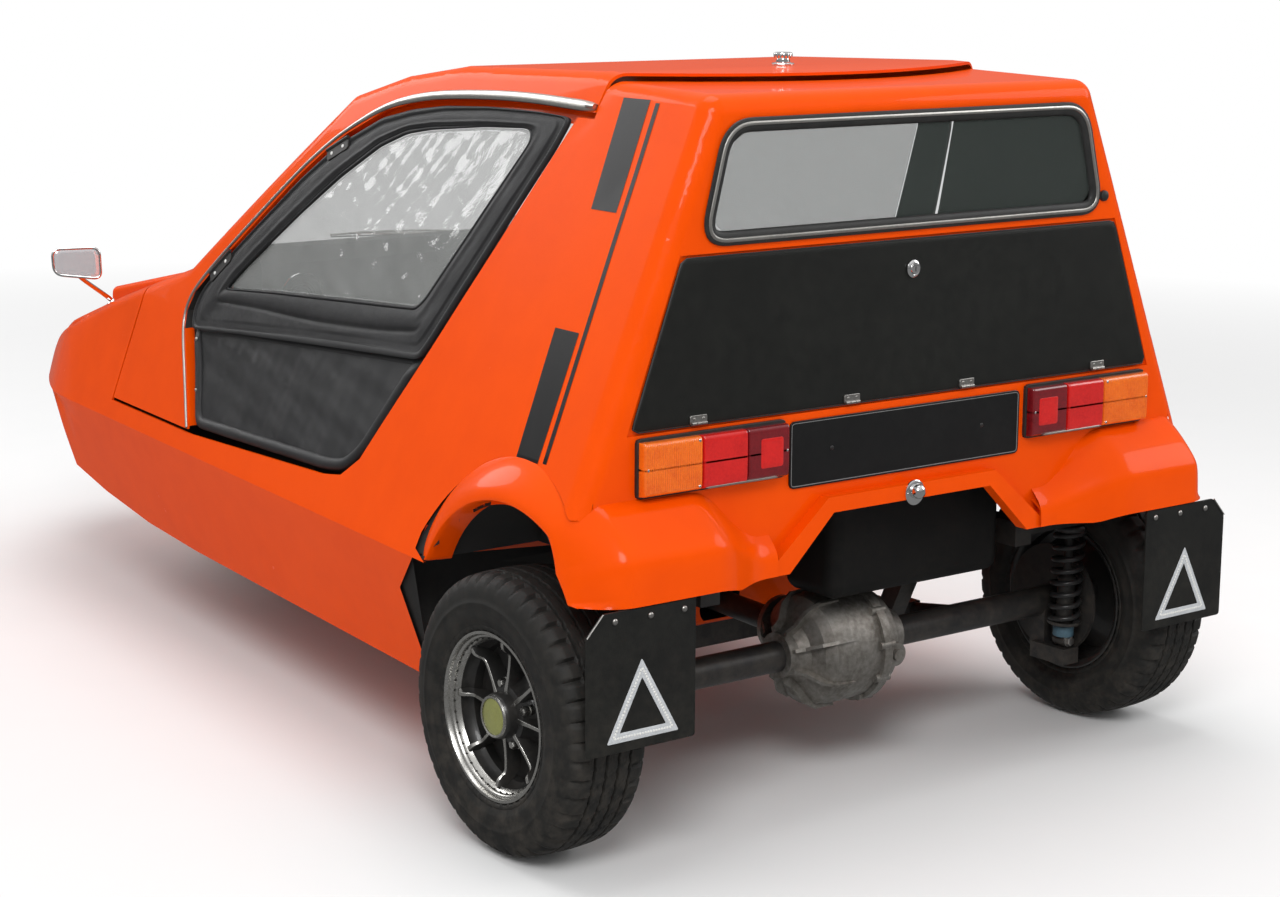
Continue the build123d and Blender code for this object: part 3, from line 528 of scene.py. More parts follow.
# CAD nodes that show as they are, by their finish
shownNodes = {"blackMoulding": ["floor_pan", "dashboard"], "castAlloy": ["differential", "gearbox"],
              "blackPaint": ["chassis", "rear_axle", "propshaft", "steering_column", "front_arm",
                             "front_knuckle"], "tankBlack": ["fuel_tank"], "engineGrey": ["engine_block"],
              "exhaustSteel": ["exhaust"], "glass": ["rear_window", "windscreen"]}
for finishName, nodeNames in shownNodes.items():
    for nodeName in nodeNames:
        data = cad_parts[nodeName].data
        data.materials.clear()
        data.materials.append(finish[finishName])
# Body skins: copies of the moulded shells with merged points, softened edges and dark insides

skinSpec = {"edge": 0.0035, "edgeAngle": 24.0, "insideDepth": 0.0036, "deepInside": 0.017, "roofRise": 0.013,
            "noseSoft": 0.017, "noseFrom": -0.62, "noseFull": -0.90, "noseStep": 0.024, "noseDeep": 0.030,
            "noseMoves": 0.0004}
fenderSpec = {"archY": 1.142, "archZ": 0.320, "crown": 0.326, "lip": 0.262, "fromX": 0.636, "outX": 0.7005,
              "rearY": 1.397, "rearTop": 0.503, "rearLow": 0.452, "floorZ": 0.4415, "slopeY": 1.284,
              "slopeZ": 0.611, "cornerCut": 0.050, "soft": 0.005, "innerX": 0.470, "innerRun": 0.150,
              "innerDrop": 0.074, "innerBack": 0.057}


def planGap(point, start, end):
    # How far a point lies inside a vertical plane that shows as a line in plan
    (x0, y0), (x1, y1) = start, end
    return ((point[1] - y0) * (x1 - x0) - (abs(point[0]) - x0) * (y1 - y0)) / math.hypot(x1 - x0, y1 - y0)


def insideDepth(point, rise):
    # How far a point lies inside the outer form, with the outward direction of the nearest of its faces
    x, y, z = abs(point[0]), point[1], point[2]
    half, lean = sideAt(y)
    sign = 1 if point[0] > 0 else -1
    gaps = [((half - lean * (z - side["refZ"]) - x) / math.hypot(1, lean), (sign, 0, lean)),
            (side["faceY"] - y, (0, 1, 0))]
    roofLine = [(side["noseY"], side["tipZ"]), side["screenFoot"], (0.200, 1.152 + rise * 0.3),
                (0.370, 1.190 + rise * 0.7), (0.560, 1.212 + rise), (1.000, 1.222 + rise),
                (1.313, 1.212 + rise)]
    for (y0, z0), (y1, z1) in zip(roofLine[:-1], roofLine[1:]):
        run = math.hypot(y1 - y0, z1 - z0)
        gaps.append((((y - y0) * (z1 - z0) - (z - z0) * (y1 - y0)) / run, (0, z0 - z1, y1 - y0)))
    plan = side["corners"] + [(1.600, 1.460)]
    tuck = (z - side["crease"]) * math.tan(math.radians(side["tuckAbove"]))
    for start, end in zip(plan[:-1], plan[1:]):
        outward = (sign * (end[1] - start[1]), start[0] - end[0], 0)
        gaps.append((planGap(point, start, end) - tuck, outward))
    gaps.append((y - side["noseY"] - tuck, (0, -1, 0)))
    return min(gaps, key=lambda gap: gap[0])


def isInside(centre, normal, rise):
    # Whether a face belongs to the dark inside: by its depth above the crease, by its direction below it
    if centre[2] > side["crease"] + 0.003:
        depth, outward = insideDepth(centre, rise)
        facing = normal.dot(Vector(outward).normalized())
        return depth > skinSpec["deepInside"] or (depth > skinSpec["insideDepth"] and facing < 0.15)
    outX = normal[0] * (1 if centre[0] > 0 else -1)
    if centre[1] > 0.86:
        return normal[1] < -0.5 or normal[2] > 0.5
    return normal[2] > 0.15 or outX < -0.15 or (centre[1] < -0.3 and normal[1] > 0.5)


def onFender(centre, normal):
    # Faces of the plain mudguard that the shaped one replaces: its flank, back, rim and the arch's edge
    x, y, z = abs(centre[0]), centre[1], centre[2]
    wallX = float(onSide(np.float64(y), np.float64(z))[0])
    outside = (x - wallX) / 1.08 > 0.0012 and y > 0.80 and 0.41 < z < 0.70
    behind = y > 1.3145 and z < 0.62 and (x > 0.3185 or z > 0.575)
    radius = math.hypot(y - fenderSpec["archY"], z - fenderSpec["archZ"])
    low = x > 0.637 and y > 0.900 and 0.41 < z < 0.578 and not (y > 1.255 and x < 0.672)
    # The body's own round corner faces down, back and sideways at once, and stays
    ownCorner = normal[2] < 0.48 and normal[1] > 0.12 and abs(normal[0]) > 0.12
    corner = x > 0.575 and y > 1.255 and z < 0.590
    well = 0.31 < x < wallX - 0.006 and 0.2515 < radius < 0.33 and 0.80 < y < 1.3065 and z < 0.66
    return outside or behind or low or ((well or corner) and not ownCorner)


def smoothStep(t):
    return t * t * (3 - 2 * t)


def noseShift(point):
    # Move inwards by the smooth maximum of the nose's planes less their true maximum, which rounds every edge
    spec = skinSpec
    x, y, z = abs(point[0]), point[1], point[2]
    sign = 1 if point[0] > 0 else -1
    fade = min(max((spec["noseFrom"] - y) / (spec["noseFrom"] - spec["noseFull"]), 0.0), 1.0)
    if fade == 0.0:
        return np.zeros(3)
    half, lean = sideAt(y)
    slope = side["tuckAbove"] if z > side["crease"] else side["tuckBelow"]
    tuck = abs(z - side["crease"]) * math.tan(math.radians(slope))
    level = [(x - half + lean * (z - side["refZ"])) / math.hypot(1, lean), -(y - side["noseY"] - tuck)]
    outward = [(sign, 0, lean), (0, -1, 0.2)]
    for start, end in zip(side["corners"][:-1], side["corners"][1:]):
        run = math.hypot(end[0] - start[0], end[1] - start[1])
        level.append(tuck - planGap(point, start, end))
        outward.append((sign * (end[1] - start[1]) / run, (start[0] - end[0]) / run, 0.2))
    rise, run = side["screenFoot"][1] - side["tipZ"], side["screenFoot"][0] - side["noseY"]
    level.append(((z - side["tipZ"]) * run - (y - side["noseY"]) * rise) / math.hypot(rise, run))
    outward.append((0, -rise, run))
    level = np.array(level)
    depth = -level.max()
    if depth > spec["noseDeep"]:
        return np.zeros(3)
    weight = np.exp((level - level.max()) / spec["noseSoft"])
    near = min(1.0, (spec["noseDeep"] - depth) / (0.6 * spec["noseDeep"]))
    step = spec["noseSoft"] * math.log(weight.sum()) * smoothStep(fade) * near
    unit = np.array([np.array(o) / np.linalg.norm(o) for o in outward])
    normal = (unit * weight[:, None]).sum(axis=0)
    return -normal / np.linalg.norm(normal) * step


def softenNose(bm):
    # Long edges near the nose's corners are cut until they can follow the round form
    for _ in range(7):
        chosen = []
        for edge in bm.edges:
            a, b = edge.verts[0].co, edge.verts[1].co
            if min(a.y, b.y) > skinSpec["noseFrom"] or edge.calc_length() < skinSpec["noseStep"]:
                continue
            moves = (np.linalg.norm(noseShift(a.lerp(b, k))) for k in (0.05, 0.25, 0.5, 0.75, 0.95))
            if max(moves) > skinSpec["noseMoves"]:
                chosen.append(edge)
        if not chosen:
            break
        bmesh.ops.subdivide_edges(bm, edges=chosen, cuts=1, use_grid_fill=False)
        bmesh.ops.triangulate(bm, faces=[f for f in bm.faces if len(f.verts) > 4])
    for vert in bm.verts:
        vert.co += Vector(noseShift(vert.co))


def skinCopy(name, node, body, rise, drop=None):
    bm = bmesh.new()
    bm.from_mesh(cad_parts[node].data)
    bmesh.ops.remove_doubles(bm, verts=bm.verts, dist=2e-5)
    if drop:
        gone = [f for f in bm.faces if drop(f.calc_center_median(), f.normal)]
        bmesh.ops.delete(bm, geom=gone, context="FACES")
    for f in bm.faces:
        f.material_index = 1 if isInside(f.calc_center_median(), f.normal, rise) else 0
    if drop:
        softenNose(bm)
    bmesh.ops.dissolve_limit(bm, angle_limit=math.radians(0.6), verts=bm.verts, edges=bm.edges,
                             delimit={"MATERIAL"})
    mesh = bpy.data.meshes.new(name)
    bm.to_mesh(mesh)
    bm.free()
    mesh.materials.append(finish["bodyPaint"])
    mesh.materials.append(finish["innerSkin"])
    mesh.shade_smooth()
    obj = newObject(name, mesh)
    addModifier(obj, "BEVEL", width=skinSpec["edge"], segments=3, limit_method="ANGLE",
                angle_limit=math.radians(skinSpec["edgeAngle"]), harden_normals=False, use_clamp_overlap=True)
    addModifier(obj, "WEIGHTED_NORMAL", keep_sharp=True, weight=60)
    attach(obj, body)
    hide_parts(node)
    return obj


def fenderPoint(x, theta, spec):
    # Radius from the arch centre runs from the outline to the lip as x goes out; the far corner is cut round.
    # Smooth minimum and maximum of a and b: -k ln(e^(-a/k) + e^(-b/k)) and k ln(e^(a/k) + e^(b/k))
    sine, cosine, degrees = np.sin(theta), np.cos(theta), np.degrees(theta)
    k = spec["soft"]
    slope = (spec["rearTop"] - spec["slopeZ"]) / (spec["rearY"] - spec["slopeY"])
    far = (spec["slopeZ"] - spec["archZ"] + slope * (spec["archY"] - spec["slopeY"])) / (sine - slope *
                                                                                         cosine)
    far = k * np.logaddexp(np.minimum(far, 0.6) / k, spec["crown"] / k)
    inner = smoothStep(np.clip((spec["innerX"] - x) / spec["innerRun"], 0, 1))
    wall = (spec["rearY"] - spec["innerBack"] * inner - spec["archY"]) / np.maximum(cosine, 0.05)
    smooth = -k * np.logaddexp(-(far - spec["innerDrop"] * inner) / k, -wall / k)
    outline = np.where(cosine > 0, smooth, spec["crown"])
    outline = outline + (spec["crown"] - outline) * smoothStep(np.clip((degrees - 52) / 20, 0, 1))
    low = (spec["rearLow"] - spec["archZ"]) / np.maximum(sine, 0.2)
    lip = np.where(degrees < 34, np.maximum(np.minimum(low, outline), spec["lip"]), spec["lip"])
    out = np.clip((x - spec["fromX"]) / (spec["outX"] - spec["fromX"]), 0, 1)
    fall = 0.62 * out ** 1.35 + 0.38 * (1 - np.sqrt(np.clip(1 - out ** 3, 0, 1)))
    radius = outline + (lip - outline) * fall
    toRear = np.clip((62 - degrees) / 20, 0, 1)
    cut = spec["cornerCut"] * np.clip((x - 0.620) / 0.080, 0, 1) ** 2.4 * toRear
    z = spec["archZ"] + radius * sine
    return np.stack([x, spec["archY"] + radius * cosine - cut, np.maximum(z, spec["floorZ"])], axis=-1)


def fenderShapes(spec):
    def sheet(xs, thetas):
        # The lip turns in under the outer edge, towards the axle
        points = fenderPoint(*np.meshgrid(xs, thetas, indexing="ij"), spec)
        last = points[-1]
        away = last - np.array([0.0, spec["archY"], spec["archZ"]])
        away[:, 0] = 0
        away /= np.linalg.norm(away, axis=1)[:, None]
        turn = [last + np.array([dx, 0, 0]) - away * dr
                for dx, dr in ((-0.0006, 0.0022), (-0.0028, 0.0034), (-0.012, 0.0050), (-0.048, 0.0085))]
        return np.concatenate([points, np.array(turn)], axis=0)

    low, bend, split, high, end = (math.radians(angle) for angle in (27.6, 47, 57.5, 76, 158.6))
    outXs = spec["fromX"] + (spec["outX"] - spec["fromX"]) * np.sin(np.linspace(0, np.pi / 2, 16))
    arch = sheet(outXs, np.linspace(split, end, 60))
    wing = sheet(np.concatenate([np.linspace(0.300, 0.634, 28), outXs]),
                 np.concatenate([np.linspace(low, bend, 40)[:-1], np.linspace(bend, split, 14)]))
    # Under the body's round corner the sheet runs on inwards
    inwards = np.meshgrid(np.linspace(0.556, spec["fromX"], 8), np.linspace(split, high, 12), indexing="ij")
    # The rear face turns under to give the edge its thickness
    edge = wing[:32, 0]
    under = np.array([edge, edge + [0, -0.004, 0.0], edge + [0, -0.0045, 0.030], edge + [0, -0.050, 0.060]])
    return [grid(arch), grid(wing), grid(fenderPoint(*inwards, spec)), grid(under)]


bodySkin = skinCopy("bodySkin", "body_shell", "body", 0.0, onFender)
skinCopy("canopySkin", "canopy_shell", "canopy", skinSpec["roofRise"])
putPair("fender_{}", fenderShapes(fenderSpec), "bodyPaint", "body", "body_paint", sharp=40)

# Black stripes laid on the rear quarters: y at the top and bottom of each, and its z range
stripeSpec = {"lift": 0.004, "proud": 0.0007,
              "bands": [((1.0815, 1.1555), (1.089, 1.161), 1.196, 1.022),
                        ((1.096, 1.1665), (1.102, 1.168), 0.838, 0.628),
                        ((1.172, 1.183), (1.182, 1.193), 1.192, 0.628)]}
stripes = []
for top, bottom, high, low in stripeSpec["bands"]:
    t, s = np.meshgrid(np.linspace(0, 1, 40), np.linspace(0, 1, 9), indexing="ij")
    y = (top[0] + (top[1] - top[0]) * s) * (1 - t) + (bottom[0] + (bottom[1] - bottom[0]) * s) * t
    stripes.append(grid(onSide(y, high + (low - high) * t, stripeSpec["lift"])))
for band in putPair("stripes_{}", stripes, "stripeBlack", "body", "black_paint", outward=False).values():
    addModifier(band, "SHRINKWRAP", target=bodySkin, wrap_method="PROJECT", use_project_x=True,
                use_negative_direction=True, use_positive_direction=True, offset=stripeSpec["proud"],
                wrap_mode="ABOVE_SURFACE", project_limit=0.02)
print("stage: body skins and mudguards made")

# Wheels: tyres with ribs, sipes and shoulder blocks, rims with eight thin spokes

tyreSpec = {"blocks": 44, "grooveDepth": 0.0065, "shoulderDepth": 0.0055, "sipeDepth": 0.0022, "steps": 352}
rimSpec = {"spokes": 8, "turn": -4.0, "nuts": 4, "nutTurn": 18.5, "nutCircle": 0.050}


def tyreShape(centreX, width, y):
    # Section of (across, radius) turned about the axle, with grooves and shoulder slots cut in the tread
    s = width / 0.160
    half = np.array([(0.0600, 0.1290), (0.0638, 0.1398), (0.0712, 0.1404), (0.0740, 0.1440), (0.0750, 0.1475),
                     (0.0742, 0.1488), (0.0765, 0.1530), (0.0785, 0.1585), (0.0792, 0.1598), (0.0797, 0.1660),
                     (0.0800, 0.1740), (0.0799, 0.1820), (0.0805, 0.1832), (0.0804, 0.1862), (0.0794, 0.1874),
                     (0.0784, 0.1950), (0.0768, 0.2030), (0.0745, 0.2105), (0.0712, 0.2170), (0.0670, 0.2218),
                     (0.0615, 0.2258), (0.0560, 0.2283)])
    tread = np.linspace(0.0540, 0.0, 42)
    crown = 0.2320 - 0.0034 * (tread / 0.056) ** 2.2
    across = np.concatenate([half[:, 0], tread, -tread[::-1][1:], -half[::-1, 0]])
    radius = np.concatenate([half[:, 1], crown, crown[::-1][1:], half[::-1, 1]])
    a = np.linspace(0, 2 * np.pi, tyreSpec["steps"], endpoint=False)
    u, phi = np.meshgrid(across, a, indexing="ij")
    r = np.repeat(radius[:, None], len(a), axis=1)
    n = tyreSpec["blocks"]
    zig = 0.0011 * (2 * np.abs(2 * ((phi * n * 1.5 / (2 * np.pi)) % 1) - 1) - 1)

    def groove(place, halfWidth):
        return np.clip((halfWidth - np.abs(u - place - zig)) / (halfWidth * 0.45), 0, 1)
    cut = np.zeros_like(u)
    for place, halfWidth in ((-0.034, 0.0021), (-0.0115, 0.0023), (0.0115, 0.0023), (0.034, 0.0021)):
        cut = np.maximum(cut, groove(place, halfWidth))
    # Shoulder slots run out over the edge; rib sipes slant between the grooves
    beat = np.abs(((phi * n / (2 * np.pi) + 0.18 * np.sign(u)) % 1) - 0.5)
    slot = np.clip((0.105 - beat) / 0.05, 0, 1)
    shoulder = np.clip((np.abs(u) - 0.0385) / 0.002, 0, 1) * np.clip((0.0765 - np.abs(u)) / 0.010, 0, 1)
    slant = np.abs(((phi * n / (2 * np.pi) + u * 21) % 1) - 0.5)
    sipe = np.clip((0.045 - slant) / 0.04, 0, 1) * np.clip((0.0305 - np.abs(u)) / 0.002, 0, 1)
    r = r - tyreSpec["grooveDepth"] * cut - tyreSpec["shoulderDepth"] * slot * shoulder * (1 - cut)
    r = r - tyreSpec["sipeDepth"] * sipe * (1 - cut)
    # A raised ring on the side wall
    ring = np.exp(-((r - 0.1915) / 0.0018) ** 2) * (np.abs(u) > 0.06)
    u = u + np.sign(u) * 0.0004 * ring
    points = np.stack([centreX + u * s, y + r * np.cos(phi), wheelSpec["axleZ"] + r * np.sin(phi)], axis=-1)
    inner = [(-0.050, 0.1290), (-0.048, 0.140), (0.048, 0.140), (0.050, 0.1290)]
    rows = [np.stack([np.full(len(a), centreX + p * s), y + q * np.cos(a), wheelSpec["axleZ"] + q *
                      np.sin(a)], axis=-1) for p, q in inner]
    return grid(np.concatenate([points, np.array(rows)], axis=0), closeRows=True, closeCols=True)


def rimShapes(centreX, width, y, hand):
    # Ring and hub profiles turned about the axle, and a spoke section carried from the lip to the hub
    s = width / 0.160
    origin = np.array([centreX, y, wheelSpec["axleZ"]])
    axis = (hand, 0, 0)

    def ring(profile, steps=96, close=True):
        return turned([(p * s, q) for p, q in profile], origin, axis, steps, close)
    lip = ring([(0.0700, 0.1392), (0.0722, 0.1388), (0.0728, 0.1366), (0.0722, 0.1340), (0.0690, 0.1322),
                (0.0655, 0.1312), (0.0648, 0.1290), (0.0630, 0.1272), (0.0580, 0.1262), (0.0560, 0.1240),
                (0.0500, 0.1210), (0.0500, 0.1275), (0.0612, 0.1280), (0.0648, 0.1388)])
    barrel = ring([(0.0502, 0.1206), (0.0380, 0.1190), (0.0300, 0.1130), (-0.0280, 0.1120), (-0.0380, 0.1240),
                   (-0.0620, 0.1258), (-0.0640, 0.1270), (-0.0390, 0.1272), (-0.0290, 0.1158),
                   (0.0290, 0.1158), (0.0400, 0.1272), (0.0502, 0.1272)])
    backRing = ring([(-0.0620, 0.1262), (-0.0660, 0.1300), (-0.0700, 0.1385), (-0.0722, 0.1392),
                     (-0.0728, 0.1360), (-0.0700, 0.1300), (-0.0640, 0.1250)])
    disc = ring([(0.0140, 0.1125), (0.0150, 0.1040), (0.0140, 0.0990), (0.0130, 0.0640), (0.0200, 0.0560),
                 (0.0310, 0.0500), (0.0420, 0.0470), (0.0450, 0.0400), (0.0450, 0.0230), (0.0000, 0.0230),
                 (0.0000, 0.0600), (0.0060, 0.0990), (0.0080, 0.1125)])
    dark, bright = [barrel, backRing, disc], [lip]
    # Spoke edge line as (radius, distance out), its back line, and its half width
    front = np.array([(0.1215, 0.0560), (0.1170, 0.0560), (0.1110, 0.0545), (0.1060, 0.0500),
                      (0.1015, 0.0430), (0.0970, 0.0400), (0.0800, 0.0405), (0.0600, 0.0425),
                      (0.0440, 0.0450), (0.0370, 0.0455)])
    line = evenly(front, 26)
    back = np.interp(line[:, 0], [0.037, 0.06, 0.10, 0.1215], [0.016, 0.014, 0.014, 0.040])
    half = np.interp(line[:, 0], [0.037, 0.06, 0.105, 0.1215], [0.0062, 0.0040, 0.0036, 0.0056])

    def spokeSkin(section, radial, sideways):
        # A section of (share of the half width, share of the height) carried along the spoke
        rows = []
        for w, h in section:
            height = back + (line[:, 1] - back) * h
            rows.append(origin + radial * line[:, :1] + np.array([hand * s, 0, 0]) * height[:, None]
                        + sideways * (half * w)[:, None])
        return grid(np.array(rows), closeRows=True)

    for i in range(rimSpec["spokes"]):
        angle = math.radians(rimSpec["turn"] + 360 / rimSpec["spokes"] * i)
        radial = np.array([0, math.cos(angle), math.sin(angle)])
        sideways = np.array([0, -math.sin(angle), math.cos(angle)])
        dark.append(spokeSkin([(-1.25, 0.0), (-1.05, 0.80), (-0.80, 0.97), (-0.55, 1.0), (0.0, 1.0),
                               (0.55, 1.0), (0.80, 0.97), (1.05, 0.80), (1.25, 0.0)], radial, sideways))
        bright.append(spokeSkin([(-0.72, 0.9992), (-0.62, 1.018), (0.62, 1.018), (0.72, 0.9992)],
                                radial, sideways))
    for i in range(rimSpec["nuts"]):
        angle = math.radians(rimSpec["nutTurn"] + 360 / rimSpec["nuts"] * i)
        place = origin + np.array([hand * 0.026 * s, rimSpec["nutCircle"] * math.cos(angle),
                                   rimSpec["nutCircle"] * math.sin(angle)])
        bright.append(turned([(0, 0.0085), (0.006, 0.0085), (0.0062, 0.0075)], place, axis, 24))
        bright.append(bolt(place + np.array([hand * 0.006, 0, 0]), axis, 0.0075, 0.013))
    bright.append(ring([(0.0660, 0.0352), (0.0694, 0.0340), (0.0700, 0.0318), (0.0690, 0.0300),
                        (0.0660, 0.0300)], 64))
    dark.append(ring([(0.0440, 0.0385), (0.0600, 0.0375), (0.0660, 0.0355), (0.0680, 0.0330),
                      (0.0675, 0.0310), (0.0440, 0.0310)], 64))
    cap = ring([(0.0600, 0.0302), (0.0672, 0.0302), (0.0684, 0.0285), (0.0690, 0.0180), (0.0688, 0.0120),
                (0.0694, 0.0105), (0.0696, 0.0050)], 64, close=False)
    return dark, bright, cap


for wheelName, x, width, y, hand, body in (("rear_left", wheelSpec["rearX"], wheelSpec["rearWidth"],
                                            wheelSpec["rearY"], 1, "rear_wheel_left"),
                                           ("rear_right", -wheelSpec["rearX"], wheelSpec["rearWidth"],
                                            wheelSpec["rearY"], -1, "rear_wheel_right"),
                                           ("front", 0.0, wheelSpec["frontWidth"], wheelSpec["frontY"], -1,
                                            "front_wheel")):
    dark, bright, cap = rimShapes(x, width, y, hand)
    putPiece("tread_" + wheelName, tyreShape(x, width, y), "tyreRubber", body, "tyre", ("tyre_" + wheelName,),
             sharp=50)
    putPiece("rimDark_" + wheelName, dark, "rimBlack", body, "rim_black", ("rim_" + wheelName,))
    putPiece("rimBright_" + wheelName, bright, "rimLip", body, "alloy_trim")
    putPiece("hubCap_" + wheelName, cap, "capGold", body, "alloy_trim")
print("stage: wheels made")

# Side screens: padded vinyl frame with a piped window, a flap over the fixed lower panel, and hinges

trimPath = np.array([(-0.143, 0.486), (-0.211, 0.578), (-0.272, 0.662), (-0.281, 0.702), (-0.262, 0.746),
                     (-0.170, 0.823), (-0.047, 0.916), (0.076, 1.009), (0.150, 1.057), (0.216, 1.093),
                     (0.336, 1.143), (0.440, 1.164), (0.552, 1.176), (0.779, 1.185), (1.016, 1.178)])
screenSpec = {
    "outer": {"front": [(-0.232, 0.669), (-0.241, 0.704), (-0.227, 0.740), (-0.158, 0.808), (-0.035, 0.900),
                        (0.087, 0.992), (0.161, 1.040), (0.225, 1.075), (0.341, 1.123), (0.443, 1.144),
                        (0.552, 1.156)],
              "top": [(0.552, 1.156), (0.700, 1.1625), (0.860, 1.1625), (0.952, 1.159)],
              "rear": [(0.952, 1.159), (0.930, 1.106), (0.843, 0.958), (0.727, 0.765), (0.704, 0.736)],
              "bottom": [(0.704, 0.736), (0.400, 0.716), (0.000, 0.688), (-0.232, 0.669)]},
    "inner": {"front": [(-0.112, 0.764), (-0.060, 0.806), (0.122, 0.932), (0.240, 1.008), (0.358, 1.072),
                        (0.440, 1.100), (0.517, 1.112)],
              "top": [(0.517, 1.112), (0.690, 1.128), (0.820, 1.134), (0.845, 1.130)],
              "rear": [(0.845, 1.130), (0.850, 1.112), (0.740, 0.946), (0.668, 0.838), (0.645, 0.818)],
              "bottom": [(0.645, 0.818), (0.400, 0.803), (0.100, 0.782), (-0.112, 0.764)]},
    "counts": {"front": 110, "top": 40, "rear": 70, "bottom": 96},
    "hem": 0.012, "hemRise": 0.0030, "pipe": 0.0026, "depth": -0.0060, "wrinkle": 0.0007,
}


def screenLoops(spec):
    # Matching outer and inner outlines, side by side, and how much each point belongs to the bottom band
    outer, inner, low = [], [], []
    for part, count in spec["counts"].items():
        outer.append(evenly(spec["outer"][part], count + 1)[:-1])
        inner.append(evenly(spec["inner"][part], count + 1)[:-1])
        low.append(np.full(count, 1.0 if part == "bottom" else 0.0))
    outer, inner, low = np.vstack(outer), np.vstack(inner), np.concatenate(low)
    for _ in range(3):
        outer = (np.roll(outer, 1, axis=0) + outer * 2 + np.roll(outer, -1, axis=0)) / 4
        inner = (np.roll(inner, 1, axis=0) + inner * 2 + np.roll(inner, -1, axis=0)) / 4
    for _ in range(8):
        low = (np.roll(low, 1) + low * 2 + np.roll(low, -1)) / 4
    return outer, inner, low


def screenFrame(spec):
    # Rows run from the outer hem to the window edge; heights are a hem roll, a padded field and a seam
    outer, inner, low = screenLoops(spec)
    span = inner - outer
    width = np.linalg.norm(span, axis=1)
    hem, rise = spec["hem"], spec["hemRise"]
    layers = []

    def layer(distance, height):
        share = (distance / width)[:, None]
        flat = outer + span * share
        layers.append(onSide(flat[:, 0], flat[:, 1], height))
    ones = np.ones(len(width))
    layer(0.004 * ones, spec["depth"] * ones)
    layer(0.0005 * ones, (spec["depth"] + 0.0005) * ones)
    for part in np.linspace(0, 1, 9):
        roll = np.sin(np.pi * min(part * 1.02, 1.0)) ** 0.7
        layer(hem * part * ones, (0.0004 + rise * roll * (1 - 0.65 * low)) * ones)
    field = np.linspace(0, 1, 26)
    for part in field:
        distance = hem + 0.0012 + (width - hem - 0.0012 - 0.0085) * part
        flat = outer + span * (distance / width)[:, None]
        puff = 0.0016 + 0.0030 * np.sin(np.pi * part) ** 0.8
        ridge = 0.0022 * np.exp(-((part - 0.80) / 0.10) ** 2)
        toWindow = (width - distance) / 0.046
        pad = 0.0058 * np.sqrt(np.clip(1 - (toWindow - 0.5) ** 2 * 4, 0, 1)) * (toWindow < 1)
        flap = 0.0013 + 0.0008 * np.sin(flat[:, 0] * 17 + 1.0)
        crease = -0.0014 * np.exp(-((toWindow - 1.04) / 0.09) ** 2)
        height = (puff + ridge) * (1 - low) + (np.maximum(pad, flap * (toWindow >= 0.9)) + crease) * low
        fade = math.sin(math.pi * min(1, max(0.02, part)) * 0.5) if part < 0.2 else 1.0
        wave = spec["wrinkle"] * ripple(flat[:, 0], flat[:, 1], 0.11) + 0.0003 * ripple(flat[:, 1],
                                                                                        flat[:, 0], 0.035,
                                                                                        2.0)
        layer(distance, height * (0.3 + 0.7 * fade) + wave * np.sin(np.pi * part) ** 0.5)
    for back, height in ((0.0078, 0.0002), (0.0070, 0.0000), (0.0062, 0.0012), (0.0044, 0.0022),
                         (0.0022, 0.0020), (0.0006, 0.0008), (0.0002, -0.0010), (0.0010, -0.0042),
                         (0.0060, spec["depth"])):
        layer(width - back, height * ones)
    return grid(np.array(layers), closeRows=True, closeCols=True)


def stitchRow(path, side3, length=0.0034, gap=0.0022, radius=0.00042):
    # Short thread loops along a path: each a six sided spindle, all made from one array
    path = np.array(path, float)
    steps = np.linalg.norm(np.diff(path, axis=0), axis=1)
    along = np.concatenate([[0], np.cumsum(steps)])
    count = int(along[-1] / (length + gap))
    start = np.arange(count) * (length + gap)
    ends = [np.stack([np.interp(start + d, along, path[:, k]) for k in range(3)], axis=1) for d in (0,
                                                                                                    length)]
    heading = ends[1] - ends[0]
    heading /= np.linalg.norm(heading, axis=1)[:, None]
    up = np.array(side3, float)
    across = np.cross(heading, up)
    across /= np.linalg.norm(across, axis=1)[:, None]
    a = np.linspace(0, 2 * np.pi, 6, endpoint=False)
    rings = []
    for share, size, raise_ in ((0.0, 0.35, 0.0), (0.2, 1.0, 0.6), (0.8, 1.0, 0.6), (1.0, 0.35, 0.0)):
        centre = ends[0] + (ends[1] - ends[0]) * share + up * radius * raise_
        rings.append(centre[:, None, :] + radius * size * (np.cos(a)[None, :, None] * across[:, None, :]
                                                           + np.sin(a)[None, :, None] * up))
    points = np.stack(rings, axis=1)
    base = gridFaces(4, 6, closeCols=True)
    quads = (base[None] + (np.arange(count) * 24)[:, None, None]).reshape(-1, 4)
    return points.reshape(-1, 3), quads, np.zeros((0, 3), int)


